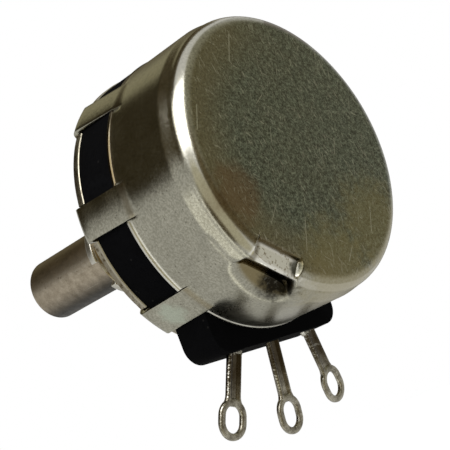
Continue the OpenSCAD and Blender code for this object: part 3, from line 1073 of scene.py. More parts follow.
class Slot(Enum):
    """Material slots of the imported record."""

    COVER = "cover_metal"
    PLATE = "plate_metal"
    BUSHING = "bushing_metal"
    SHAFT = "shaft_steel"
    RING = "ring_steel"
    MOULDING = "black_moulding"
    CARBON = "carbon"
    CONTACT = "plated_contact"
    TERMINAL = "terminal_tin"
    BROWN = "brown_moulding"
    SPRING = "spring_bronze"


class Palette:
    """Materials of all finishes, made once."""

    def __init__(self, finishes: Dict[Slot, Finish], effects: Effects) -> None:
        """Builds the material of each slot's finish."""
        self._materials = {slot: finish.material(effects) for slot, finish in finishes.items()}
        LOG.info("palette: %d materials", len(self._materials))

    def dress(self, obj: bpy.types.Object, slot: Slot) -> None:
        """Gives an object its material.

        Args:
            obj: The object.
            slot: Its material slot.
        """
        material = self._materials[slot]
        if not obj.material_slots:
            obj.data.materials.append(material)
        for used in obj.material_slots:
            used.material = material


class Piece(ABC):
    """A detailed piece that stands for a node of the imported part."""

    node: str
    body: Body
    slot: Slot

    @abstractmethod
    def shape(self) -> bpy.types.Object:
        """Builds the piece's object."""

    @property
    def name(self) -> str:
        """Name of the piece's object."""
        return self.node + "_dressed"

    def place(self, palette: Palette) -> bpy.types.Object:
        """Builds, dresses and mounts the piece.

        Args:
            palette: Materials by slot.

        Returns:
            The finished object.
        """
        obj = self.shape()
        palette.dress(obj, self.slot)
        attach(obj, self.body.value)
        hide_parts(self.node)
        LOG.info("piece %s: %d faces", obj.name, len(obj.data.polygons))
        return obj


@dataclass(frozen=True)
class PocketSizes:
    """Stop pocket pressed into the cover's rear edge."""

    angle: float = -49.8
    skew: float = -8.4
    reach: float = 25.0
    width: float = 4.65
    widening: float = 0.26
    lean: float = 0.2
    corner: float = 2.2
    chord: float = 11.1
    chord_run: float = 0.12
    ledge_drop: float = 0.45
    ledge_width: float = 1.78
    ledge_fall: float = 0.28
    crease_inset: float = 1.1
    crease_depth: float = 2.7
    ridge: float = 0.22
    ramp_fall: float = 1.65
    bend_r: float = 0.22
    softness: float = 0.17
    rim_softness: float = 0.5
    rim_depth: Point2 = (2.0, 3.5)
    easing: int = 80
    easing_depth: Point2 = (2.0, 2.9)


@dataclass(frozen=True)
class TabSizes:
    """Tabs that hold the cover on the plate."""

    angles: Tuple[float, ...] = (0.0, -45.0, -135.0, 135.0, 90.0, 45.0)
    width: float = 3.1
    outer_r: float = 13.92
    root_y: float = 6.9
    step_y: float = 5.6
    step: float = 0.16
    bend_r: float = 0.67
    front_y: float = 0.13
    fold: float = 2.6
    split: float = 0.05


@dataclass(frozen=True)
class RearCover(Piece):
    """Drawn cover with a shouldered rear edge, a pressed stop pocket, a flared lip and six tabs."""

    node: str = "rear_cover"
    body: Body = Body.HOUSING
    slot: Slot = Slot.COVER
    outer_r: float = 13.4
    rear_y: float = 14.81
    sheet: float = 0.42
    rear_radius: float = 1.55
    shoulder_length: float = 2.7
    shoulder_step: float = 0.22
    shoulder_r: float = 1.2
    lip_r: float = 13.49
    lip_y: float = 5.37
    lip_start: float = 5.72
    lip_land: float = 0.18
    region_r: float = 10.2
    region_fall: float = 5.1
    edge_rounding: float = 0.07
    sharp_angle: float = 50.0
    flat_margin: float = 0.02
    wall_margin: float = 0.01
    face_rows: int = 13
    rows: Tuple[int, ...] = (5, 6, 10, 14, 4, 18, 8)
    wall_rows: int = 9
    path_points: int = 900
    fine_reach: float = 18.0
    fine_step: float = 0.3
    coarse_step: float = 2.0
    coarse_clear: float = 0.8
    fine_clear: float = 0.12
    tab_columns: int = 9
    pocket: PocketSizes = field(default_factory=PocketSizes)
    tabs: TabSizes = field(default_factory=TabSizes)

    @property
    def _tab_half(self) -> float:
        """Half the angle of a tab at its root."""
        return math.degrees(math.asin(self.tabs.width / 2 / self.outer_r))

    def _columns(self) -> np.ndarray:
        """Angles of the mesh's columns, fine round the pocket and exact at the tabs' sides.

        Returns:
            Angles in degrees, rising from -180.
        """
        half = self._tab_half
        fine = self.pocket.angle + np.arange(-self.fine_reach, self.fine_reach + 0.01, self.fine_step)
        wide = np.arange(-180.0, 180.0, self.coarse_step)
        wide = wide[(wide < fine[0] - 1.0) | (wide > fine[-1] + 1.0)]
        apart = [t for t in self.tabs.angles if abs(t - self.pocket.angle) > self.fine_reach]
        for t in apart:
            wide = wide[np.abs(wide - t) > half + self.coarse_clear]
        inner = [t + np.linspace(-half, half, self.tab_columns)[1:-1] for t in apart]
        every = np.concatenate([fine, wide, *inner])
        sides = [t + side for t in self.tabs.angles for side in (-half, half)]
        for side in sides:
            every = every[np.abs(every - side) > self.fine_clear]
        every = (np.concatenate([every, sides]) + 180.0) % 360.0 - 180.0
        return np.sort(np.unique(np.round(every, 6)))

    def _plain_path(self) -> np.ndarray:
        """Section from the face over the rear edge to the wall.

        Returns:
            Rows of distance from the axis and place along Y.
        """
        edge = self.outer_r - self.shoulder_step - self.rear_radius
        turn = np.radians(np.linspace(90.0, 0.0, 25))
        arc = np.stack([edge + self.rear_radius * np.cos(turn),
                        self.rear_y - self.rear_radius * (1.0 - np.sin(turn))], axis=1)
        wall = rounded_path([tuple(arc[-1]), (self.outer_r, self.rear_y - self.shoulder_length),
                             (self.outer_r, self.rear_y - self.region_fall)], self.shoulder_r)
        return np.concatenate([[[self.region_r, self.rear_y]], arc, wall[1:]])

    def _pocket_path(self) -> List[Point2]:
        """Corners of the pocket's section: chord, ledge, crease, ridge and ramp.

        Returns:
            Distance from the axis and place along Y of each corner.
        """
        p, top = self.pocket, self.rear_y
        crease = p.chord + p.ledge_width - p.crease_inset
        return [
            (self.region_r, top),
            (p.chord, top),
            (p.chord + p.chord_run, top - p.ledge_drop),
            (p.chord + p.ledge_width, top - p.ledge_drop - p.ledge_fall),
            (crease, top - p.crease_depth),
            (crease + 2 * p.ridge, top - p.crease_depth + p.ridge),
            (self.outer_r, top - p.crease_depth - p.ramp_fall),
            (self.outer_r, top - self.region_fall),
        ]

    def _plain_nodes(self) -> List[Point2]:
        """Places on the plain section that match the corners of the pocket's section.

        Returns:
            Distance from the axis and place along Y of each place.
        """
        corners, top, depth = self._pocket_path(), self.rear_y, self.pocket.crease_depth
        edge = self.outer_r - self.shoulder_step - self.rear_radius
        middle = self.rear_radius * math.sqrt(0.5)
        return [*corners[:2], (edge, top), (edge + middle, top - self.rear_radius + middle),
                (self.outer_r, top - depth), (self.outer_r, top - depth - 0.3), *corners[6:]]

    def _rows(self, path: np.ndarray, nodes: Sequence[Point2]) -> np.ndarray:
        """Mesh rows along a path, with a fixed number between each two of its nodes.

        Args:
            path: Fine path as distance from the axis and place along Y.
            nodes: Points on or near the path.

        Returns:
            One point for each row.
        """
        marks = [int(np.argmin(np.hypot(path[:, 0] - r, path[:, 1] - y))) for r, y in nodes]
        parts = [resample(path[a:b + 1], count + 1)[:-1] for a, b, count in zip(marks, marks[1:], self.rows)]
        return np.concatenate(parts + [path[-1:]])

    def _pressed(self, radius: np.ndarray, height: np.ndarray, turned: np.ndarray) -> np.ndarray:
        """Share of the pressing at each point, 1 in the slot and 0 outside its soft rim.

        Args:
            radius: Distances from the axis.
            height: Places along Y.
            turned: Angle of each column from the pocket's middle.

        Returns:
            The shares.
        """
        p = self.pocket
        below = np.maximum(self.rear_y - height, 0.0)
        floor = self.rear_y - p.crease_depth - p.ramp_fall
        across = radius * np.sin(np.radians(turned))[None, :] + p.lean * below
        out = np.abs(across) - ((p.width + p.widening * below) / 2 - p.corner)
        down = np.maximum(floor + p.corner - height, 0.0)
        gap = np.hypot(np.maximum(out, 0.0), down) - p.corner
        soft = p.softness + (p.rim_softness - p.softness) * smoothstep(*p.rim_depth, below)
        return 1.0 - smoothstep(-soft, soft, gap)

    def _eased(self, grid: np.ndarray) -> np.ndarray:
        """Values of a grid, evened out with their neighbours.

        Args:
            grid: Values, rows by columns.

        Returns:
            The evened values, with the border as it was.
        """
        eased = grid.copy()
        for _ in range(self.pocket.easing):
            around = eased[:-2, 1:-1] + eased[2:, 1:-1] + eased[1:-1, :-2] + eased[1:-1, 2:]
            eased[1:-1, 1:-1] = 0.5 * eased[1:-1, 1:-1] + 0.125 * around
        return eased

    def _region(self, angles: np.ndarray) -> np.ndarray:
        """Points between the face and the plain wall, with the pocket pressed in.

        Args:
            angles: Angles of the columns.

        Returns:
            Grid of points, rows by columns.
        """
        p, top = self.pocket, self.rear_y
        outline = resample(self._plain_path(), self.path_points)
        plain = self._rows(outline, self._plain_nodes())
        corners = self._pocket_path()
        pressed = self._rows(resample(rounded_path(corners, p.bend_r, 6), self.path_points), corners)
        turned = (angles - p.angle + 180) % 360 - 180
        near = np.abs(turned) < p.reach
        slant = np.where(near, np.cos(np.radians(angles - (p.angle + p.skew))), 1.0)
        grow = np.clip(np.arange(len(plain)) / self.rows[0], 0.0, 1.0)[:, None]
        r0, y0, y1 = (np.repeat(rows[:, None], len(angles), axis=1)
                      for rows in (plain[:, 0], plain[:, 1], pressed[:, 1]))
        r1 = pressed[:, :1] * (1 + (1 / slant[None, :] - 1) * grow)
        limit_r = np.interp(-y1, -outline[:, 1], outline[:, 0])
        r1 = np.where(y1 < top - self.flat_margin, np.minimum(r1, limit_r), r1)
        limit_y = np.interp(r1, outline[:, 0], outline[:, 1])
        y1 = np.where(r1 < self.outer_r - self.wall_margin, np.minimum(y1, limit_y), y1)
        share = self._pressed(np.minimum(r0, r1), 0.5 * (y0 + y1), turned) * near
        radius, height = r0 + (r1 - r0) * share, y0 + (y1 - y0) * share
        calm = smoothstep(*p.easing_depth, top - height) * near
        return polar(radius + (self._eased(radius) - radius) * calm, angles[None, :], height)

    def _lip(self, angles: np.ndarray) -> np.ndarray:
        """Points from the tabs' root down to the flared front edge.

        Args:
            angles: Angles of the columns.

        Returns:
            Grid of points, rows by columns.
        """
        y = np.concatenate([np.linspace(self.tabs.root_y, self.lip_start, 3)[1:-1],
                            np.linspace(self.lip_start, self.lip_y, 9)])
        flare = smoothstep(self.lip_start, self.lip_y + self.lip_land, y)
        return swept(np.stack([self.outer_r + (self.lip_r - self.outer_r) * flare, y], axis=1), angles)

    def _tab_path(self) -> np.ndarray:
        """Section of a tab: its step, its run along the base, its bend and its fold.

        Returns:
            Rows of distance from the axis and place along Y, without the root.
        """
        s = self.tabs
        bend_y = s.front_y + s.bend_r
        rise = np.linspace(0.0, 1.0, 15)[1:]
        step = np.stack([self.outer_r + s.step * smoothstep(0.0, 1.0, rise),
                         s.root_y + (s.step_y - s.root_y) * rise], axis=1)
        run = np.linspace((self.outer_r + s.step, s.step_y), (s.outer_r, bend_y), 9)[1:]
        turn = np.radians(np.linspace(0.0, 90.0, 9)[1:])
        bend = np.stack([s.outer_r - s.bend_r + s.bend_r * np.cos(turn),
                         bend_y - s.bend_r * np.sin(turn)], axis=1)
        end = s.outer_r - self.sheet - s.fold
        fold = np.linspace((s.outer_r - s.bend_r, s.front_y), (end, s.front_y), 7)[1:]
        return np.concatenate([step, run, bend, fold])

    def _tab(self, centre: float, angles: np.ndarray) -> np.ndarray:
        """Points of one tab, from its root over the fold to its end.

        Args:
            centre: Angle of the tab.
            angles: Angles of its columns at the root.

        Returns:
            Grid of points, rows by columns, without the root row.
        """
        path = self._tab_path()
        across = self.outer_r * np.sin(np.radians(angles - centre))[None, :]
        out = np.sqrt(path[:, :1] ** 2 - across ** 2)
        a = math.radians(centre)
        x, z = out * math.cos(a) - across * math.sin(a), out * math.sin(a) + across * math.cos(a)
        return np.stack([x, np.broadcast_to(path[:, 1:], x.shape), z], axis=-1)

    def shape(self) -> bpy.types.Object:
        """Builds the cover.

        Returns:
            The object.
        """
        angles = self._columns()
        mesh = MeshBuilder()
        face_r = np.linspace(0.0, self.region_r, self.face_rows + 1)[1:-1]
        face = swept([(r, self.rear_y) for r in face_r], angles)
        wall_y = np.linspace(self.rear_y - self.region_fall, self.tabs.root_y, self.wall_rows + 1)[1:]
        wall = swept([(self.outer_r, y) for y in wall_y], angles)
        grid = mesh.points(np.concatenate([face, self._region(angles), wall]))
        mesh.skin(grid, wrap_columns=True)
        mesh.fan(grid[0], self.rear_y)
        self._skin_front(mesh, grid[-1], angles)
        obj = mesh.build(self.name, outward=False)
        self._turn_outward(obj)
        sheet = obj.modifiers.new("sheet", "SOLIDIFY")
        sheet.thickness = self.sheet * MM
        sheet.offset = -1.0
        add_bevel(obj, self.edge_rounding, 2, self.sharp_angle)
        return bake(obj, self.sharp_angle)

    def _skin_front(self, mesh: MeshBuilder, root: np.ndarray, angles: np.ndarray) -> None:
        """Adds the tabs, and between them the wall down to the lip.

        Args:
            mesh: Mesh under construction.
            root: Indices of the row where tabs and lip part.
            angles: Angles of the columns.
        """
        owned = np.zeros(len(angles), bool)
        for centre in self.tabs.angles:
            mine = np.abs((angles - centre + 180) % 360 - 180) < self._tab_half + 1e-3
            owned |= mine
            tab = mesh.points(self._tab(centre, angles[mine]))
            mesh.skin(np.vstack([root[mine][None, :], tab]))
        n, split = len(angles), math.degrees(self.tabs.split / self.outer_r)
        for start in (i for i in range(n) if owned[i] and not owned[(i + 1) % n]):
            end = next(k for k in range(start + 1, start + n) if owned[k % n])
            run = np.arange(start, end + 1) % n
            local = angles[run]
            local = np.where(local < local[0] - 1e-6, local + 360.0, local)
            local[[0, -1]] += (split, -split)
            mesh.skin(np.vstack([root[run][None, :], mesh.points(self._lip(local))]))

    @staticmethod
    def _turn_outward(obj: bpy.types.Object) -> None:
        """Turns the cover's surface so that its normals point away from the axis.

        Args:
            obj: The cover's object.
        """
        obj.data.update()
        some = list(obj.data.polygons)[::37]
        if sum(p.normal.x * p.center.x + p.normal.z * p.center.z for p in some) < 0:
            obj.data.flip_normals()


@dataclass(frozen=True)
class FrontPlate(Piece):
    """Stamped plate with a raised pad, notches for the tabs and a locating lug."""

    node: str = "front_plate"
    body: Body = Body.HOUSING
    slot: Slot = Slot.PLATE
    outer_r: float = 13.55
    pad_r: float = 9.0
    flat_r: float = 12.2
    bore_r: float = 5.1625
    relief_r: float = 5.4625
    relief: float = 0.2
    thickness: float = 0.8
    step: float = 0.55
    round_off: float = 0.07
    border: float = 0.2
    notch_angles: Tuple[float, ...] = TabSizes.angles
    notch_width: float = 3.5
    notch_depth: float = 0.7
    notch_draft: float = 0.985
    notch_clear: float = 10.2
    rim_step: float = 2.5
    lug_width: float = 3.2
    lug_reach: float = 2.0
    lug_inset: float = 0.05
    lug_gap: float = 0.02

    def _edge(self) -> Tuple[np.ndarray, np.ndarray]:
        """Outline of the rim with its notches.

        Returns:
            Angles and radii of its points.
        """
        wide = math.degrees(math.asin(self.notch_width / 2 / self.outer_r))
        floor = self.outer_r - self.notch_depth
        points: List[Point2] = []
        for centre in self.notch_angles:
            points += [(centre - wide, self.outer_r), (centre + wide, self.outer_r)]
            for k in np.linspace(-self.notch_draft * wide, self.notch_draft * wide, 9):
                points.append((centre + k, floor / math.cos(math.radians(k))))
        for a in np.arange(-180.0, 180.0, self.rim_step):
            if all(abs((a - c + 180) % 360 - 180) > self.notch_clear for c in self.notch_angles):
                points.append((a, self.outer_r))
        points.sort(key=lambda p: (p[0] + 180.0) % 360.0)
        return np.array([p[0] for p in points]), np.array([p[1] for p in points])

    def shape(self) -> bpy.types.Object:
        """Builds the plate.

        Returns:
            The object.
        """
        angles, rim = self._edge()
        inner, front, rear = self.bore_r, self.step, self.step + self.thickness
        pad, soft, slope = self.pad_r, self.round_off, self.step
        front_face = [
            (inner, self.relief), (self.relief_r, self.relief), (self.relief_r, 0.0),
            (self.relief_r + self.border, 0.0), (pad - self.border, 0.0), (pad - soft, 0.0),
            (pad + soft, soft), (pad + slope, front), (pad + slope + self.border, front),
            (self.flat_r, front),
        ]
        rim_edge = [(-2 * self.border, front), (-soft, front), (0.0, front + soft), (0.0, rear - soft),
                    (-soft, rear)]
        rear_face = [
            (self.flat_r, rear), (pad + slope / 2, rear), (pad - slope / 2, self.thickness),
            (inner, self.thickness),
        ]
        circle = np.ones(len(angles))
        radii = np.array([r * circle for r, _ in front_face] + [rim + r for r, _ in rim_edge]
                         + [r * circle for r, _ in rear_face])
        heights = np.array([y for _, y in front_face + rim_edge + rear_face])[:, None]
        mesh = MeshBuilder()
        mesh.skin(mesh.points(polar(radii, angles[None, :], heights)), wrap_rows=True, wrap_columns=True)
        low = self.lug_inset - self.outer_r
        mesh.box((low, -self.lug_reach, -self.lug_width / 2),
                 (low + self.thickness, rear - self.lug_gap, self.lug_width / 2))
        return bake(mesh.build(self.name))


@dataclass(frozen=True)
class Bushing(Piece):
    """Bushing with a cut thread, a chamfered end and a staked flange."""

    node: str = "bushing"
    body: Body = Body.HOUSING
    slot: Slot = Slot.BUSHING
    outer_r: float = 4.7625
    bore_r: float = 3.205
    bore_chamfer: Point2 = (0.2, 0.25)
    reach: float = 9.5
    pitch: float = 0.79375
    depth: float = 0.42
    flank: Point2 = (0.12, 0.94)
    chamfer: float = 0.5
    neck_r: float = FrontPlate.bore_r
    neck_y: float = FrontPlate.relief
    flange_r: float = 5.6625
    plate: float = FrontPlate.thickness
    flange: float = 0.48
    relief: float = 0.7
    run_out: float = 0.5
    sharp_angle: float = 50.0
    columns: int = 96
    rows_per_turn: int = 10

    def _thread(self, angle: np.ndarray) -> np.ndarray:
        """Points of the thread, from the bushing's end to its relief.

        Args:
            angle: Angles of the columns.

        Returns:
            Grid of points, rows by columns.
        """
        count = int((self.reach - self.relief) / self.pitch * self.rows_per_turn)
        y = np.linspace(-self.reach, -self.relief, count)[:, None]
        turn = y / self.pitch + angle[None, :] / 360.0
        groove = self.depth * smoothstep(*self.flank, np.abs(turn % 1.0 - 0.5) * 2.0)
        shallow = smoothstep(-self.relief, -self.relief - self.run_out, y)
        lead = self.outer_r - self.chamfer + (y + self.reach)
        return polar(np.minimum(self.outer_r - groove * shallow, lead), angle[None, :], y)

    def shape(self) -> bpy.types.Object:
        """Builds the bushing.

        Returns:
            The object.
        """
        angle = round_angles(self.columns)
        top = self.plate + self.flange
        wide, long = self.bore_chamfer
        body = swept([
            (self.outer_r, 0.0), (self.neck_r, self.neck_y), (self.neck_r, self.plate),
            (self.flange_r, self.plate), (self.flange_r, top), (self.bore_r, top),
            (self.bore_r, long - self.reach), (self.bore_r + wide, -self.reach),
        ], angle)
        mesh = MeshBuilder()
        grid = mesh.points(np.concatenate([self._thread(angle), body]))
        mesh.skin(grid, wrap_rows=True, wrap_columns=True)
        return bake(mesh.build(self.name), self.sharp_angle)


@dataclass(frozen=True)
class Shaft(Piece):
    """Turned shaft with a rounded tip, a ring groove, a collar and two drive flats."""

    node: str = "shaft"
    body: Body = Body.ROTOR
    slot: Slot = Slot.SHAFT
    radius: float = 3.175
    reach: float = 22.2
    chamfer: float = 0.55
    edge_r: float = 0.16
    groove_r: float = 2.755
    groove_low: float = -10.36
    groove_high: float = -9.5
    collar_r: float = 3.925
    collar_low: float = 1.64
    collar_high: float = 2.29
    drive_low: float = 8.35
    drive_inset: float = 0.05
    flats: float = 4.9
    rear: float = 12.05
    rivet: float = 0.4
    rivet_lip: Point2 = (0.1, -0.2)
    columns: int = 96

    def shape(self) -> bpy.types.Object:
        """Builds the shaft.

        Returns:
            The object.
        """
        r, tip, end = self.radius, -self.reach, self.rear + self.rivet
        path = rounded_path([
            (0.0, tip), (r - self.chamfer, tip), (r, tip + self.chamfer), (r, self.groove_low),
            (self.groove_r, self.groove_low), (self.groove_r, self.groove_high), (r, self.groove_high),
            (r, self.collar_low), (self.collar_r, self.collar_low), (self.collar_r, self.collar_high),
            (r, self.collar_high), (r, self.drive_low),
        ], self.edge_r, 4)
        angle = round_angles(self.columns)
        drive = swept([(r - self.drive_inset, self.drive_low), (r - self.drive_inset, self.rear)], angle)
        drive[:, :, 2] = np.clip(drive[:, :, 2], -self.flats / 2, self.flats / 2)
        head = swept([(r + self.rivet_lip[0], self.rear), (r + self.rivet_lip[1], end)], angle)
        mesh = MeshBuilder()
        grid = mesh.points(np.concatenate([swept(path[1:], angle), drive, head]))
        mesh.skin(grid, wrap_columns=True)
        mesh.fan(grid[0], tip)
        mesh.fan(grid[-1], end)
        return bake(mesh.build(self.name))


@dataclass(frozen=True)
class RetainingRing(Piece):
    """Open ring with rounded edges that sits in the shaft's groove."""

    node: str = "shaft_retaining_ring"
    body: Body = Body.ROTOR
    slot: Slot = Slot.RING
    clearance: float = 0.03
    inner_r: float = Shaft.groove_r + clearance
    outer_r: float = 4.5
    front: float = Shaft.groove_low + clearance
    rear: float = Shaft.groove_high - clearance
    gap_from: float = -48.0
    gap_to: float = -12.0
    edge_rounding: float = 0.12

    def shape(self) -> bpy.types.Object:
        """Builds the ring.

        Returns:
            The object.
        """
        section = [(self.inner_r, self.front), (self.outer_r, self.front), (self.outer_r, self.rear),
                   (self.inner_r, self.rear)]
        angles = np.linspace(self.gap_to, self.gap_from + 360.0, 90)
        mesh = MeshBuilder()
        mesh.tube(swept(section, angles).transpose(1, 0, 2))
        obj = mesh.build(self.name)
        add_bevel(obj, self.edge_rounding, 3)
        return bake(obj)


@dataclass(frozen=True)
class Terminal(Piece):
    """Stamped terminal: a channelled strip that leans forward and ends in a long eye."""

    node: str = "terminal_centre"
    spread: float = 0.0
    body: Body = Body.HOUSING
    slot: Slot = Slot.TERMINAL
    width: float = 1.6
    sheet: float = 0.5
    edge: float = 0.12
    channel_mouth: float = 0.62
    channel_floor: float = 0.3
    groove: float = 0.16
    flare: float = 0.28
    flare_length: float = 0.9
    height: float = 3.65
    block_drop: float = 14.5
    buried: float = 0.35
    eye_distance: float = 21.05
    eye_forward: float = 1.1
    eye_width: float = 3.1
    hole_width: float = 1.8
    stretch: float = 0.55
    squareness: float = 0.6
    limb_r: float = 11.03
    limb_end: float = 9.48
    limb_overlap: float = 0.2
    track_z: float = 7.5
    eye_overlap: float = 0.05
    strip_rows: int = 24
    eye_columns: int = 72
    eye_corners: int = 16
    voxel: float = 0.045
    softening: int = 7
    sharp_angle: float = 50.0

    @property
    def _root(self) -> float:
        """Distance from the axis at which the strip leaves the block."""
        tilt = abs(math.sin(math.radians(self.spread)))
        return (self.block_drop + tilt * self.width / 2) / math.cos(math.radians(self.spread))

    @property
    def _frame(self) -> Matrix:
        """Matrix from the strip's frame, X outward, Y across and Z to the rear, to the part's frame.

        Returns:
            The matrix.
        """
        a = math.radians(90.0 + self.spread)
        axes = ((math.cos(a), 0.0, -math.sin(a)), (-math.sin(a), 0.0, -math.cos(a)), (0.0, 1.0, 0.0))
        return Matrix(axes).transposed().to_4x4()

    def _strip(self, length: float) -> np.ndarray:
        """Sections of the strip, which widens into the eye.

        Args:
            length: Distance from the block to the middle of the eye.

        Returns:
            Grid of points in the blade's frame, one section a row.
        """
        w, t, c = self.width / 2, self.sheet, self.edge
        mouth, floor = w * self.channel_mouth, w * self.channel_floor
        half = [(w - c, 0.0), (w, c), (w, t - c), (w - c, t), (mouth, t), (floor, t - self.groove)]
        section = np.array(half + [(-y, z) for y, z in reversed(half)])
        end = length - self.hole_width / 2 - self.stretch / 2 + self.eye_overlap
        along = np.linspace(-self.buried, end, self.strip_rows)[:, None]
        wide = 1.0 + self.flare * smoothstep(end - self.flare_length, end, along)
        return np.stack(np.broadcast_arrays(along, section[:, 0] * wide, section[:, 1]), axis=-1)

    def _eye(self, length: float) -> np.ndarray:
        """Ring of the eye, with a rounded square section.

        Args:
            length: Distance from the block to the middle of the eye.

        Returns:
            Grid of points in the blade's frame, one section a row.
        """
        turn = np.radians(round_angles(self.eye_columns))[:, None]
        angle = np.radians(round_angles(self.eye_corners) + 180.0 / self.eye_corners)
        side, up = (np.sign(f(angle)) * np.abs(f(angle)) ** self.squareness / 2 for f in (np.cos, np.sin))
        reach = (self.eye_width + self.hole_width) / 4 + side * (self.eye_width - self.hole_width) / 2
        x = length + reach * np.cos(turn) + np.sign(np.cos(turn)) * self.stretch / 2
        return np.stack(np.broadcast_arrays(x, reach * np.sin(turn), (up + 0.5) * self.sheet), axis=-1)

    def _blade(self) -> bpy.types.Object:
        """Builds the strip and the eye outside the block, melted together.

        Returns:
            The object.
        """
        run = self.eye_distance - self._root
        length = math.hypot(run, self.eye_forward)
        lean = Matrix.Rotation(math.atan2(self.eye_forward, run), 4, "Y")
        place = self._frame @ Matrix.Translation((self._root, 0.0, self.height)) @ lean
        mesh = MeshBuilder()
        mesh.tube(placed(self._strip(length), place))
        mesh.skin(mesh.points(placed(self._eye(length), place)), wrap_rows=True, wrap_columns=True)
        blade = mesh.build(self.node + "_blade")
        melt = blade.modifiers.new("melt", "REMESH")
        melt.mode = "VOXEL"
        melt.voxel_size = self.voxel * MM
        soft = blade.modifiers.new("soften", "SMOOTH")
        soft.factor = 0.5
        soft.iterations = self.softening
        return bake(blade)

    def shape(self) -> bpy.types.Object:
        """Builds the terminal.

        Returns:
            The object.
        """
        blade = self._blade()
        inner = MeshBuilder()
        w, t, low, high = self.width / 2, self.sheet, self.height, self.track_z
        bend = self.limb_r - t
        inner.box((bend, -w, low), (self._root - self.limb_overlap, w, low + t), self._frame)
        inner.box((bend, -w, low + t), (self.limb_r, w, high + t), self._frame)
        inner.box((self.limb_end, -w, high), (bend, w, high + t), self._frame)
        limbs = inner.build(self.name)
        bm = bmesh.new()
        bm.from_mesh(limbs.data)
        bm.from_mesh(blade.data)
        bm.to_mesh(limbs.data)
        bm.free()
        bpy.data.objects.remove(blade)
        shade_smooth(limbs.data, self.sharp_angle)
        return limbs


@dataclass(frozen=True)
class SolidNodes:
    """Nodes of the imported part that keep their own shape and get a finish."""

    slots: Tuple[Tuple[str, Slot], ...] = (
        ("base_moulding", Slot.MOULDING),
        ("thrust_washer", Slot.RING),
        ("resistance_track", Slot.CARBON),
        ("end_contact_left", Slot.CONTACT),
        ("end_contact_right", Slot.CONTACT),
        ("collector_ring", Slot.CONTACT),
        ("brush_carrier", Slot.BROWN),
        ("track_brush", Slot.CARBON),
        ("collector_brush", Slot.CARBON),
        ("brush_spring", Slot.SPRING),
        ("stop_plate", Slot.RING),
    )
    rounded: Tuple[str, ...] = ("base_moulding",)
    rounding: float = 0.18

    def dress(self, frame: Dict, palette: Palette) -> None:
        """Gives each node its finish.

        Args:
            frame: The loaded frame.
            palette: Materials by slot.
        """
        for name, slot in self.slots:
            obj = frame["nodes"][name]
            palette.dress(obj, slot)
            if name in self.rounded:
                weld = obj.modifiers.new("weld", "WELD")
                weld.merge_threshold = 1e-6
                add_bevel(obj, self.rounding, 2, 40.0)
            LOG.info("node %s: %s", name, slot.value)


# Studio


@dataclass(frozen=True)
class DirectionPanel:
    """Patch of the surroundings that shows in polished metal, between two angles from its centre."""

    centre: Point3
    inner: float
    outer: float
    level: Colour
    low: float = -2.0
    high: float = 2.0


@dataclass(frozen=True)
class Lamp:
    """Soft rectangular lamp that faces the part."""

    name: str
    direction: Point3
    distance: float
    size: Point2
    radiance: float

    def hang(self) -> None:
        """Hangs the lamp."""
        light = bpy.data.lights.new(self.name, "AREA")
        light.shape = "RECTANGLE"
        light.size, light.size_y = self.size[0] * MM, self.size[1] * MM
        light.energy = self.radiance * math.pi * light.size * light.size_y
        obj = bpy.data.objects.new(self.name, light)
        bpy.context.scene.collection.objects.link(obj)
        away = Vector(self.direction).normalized()
        aim = away.to_track_quat("Z", "Y").to_matrix().to_4x4()
        obj.matrix_world = Matrix.Translation(away * self.distance * MM) @ aim


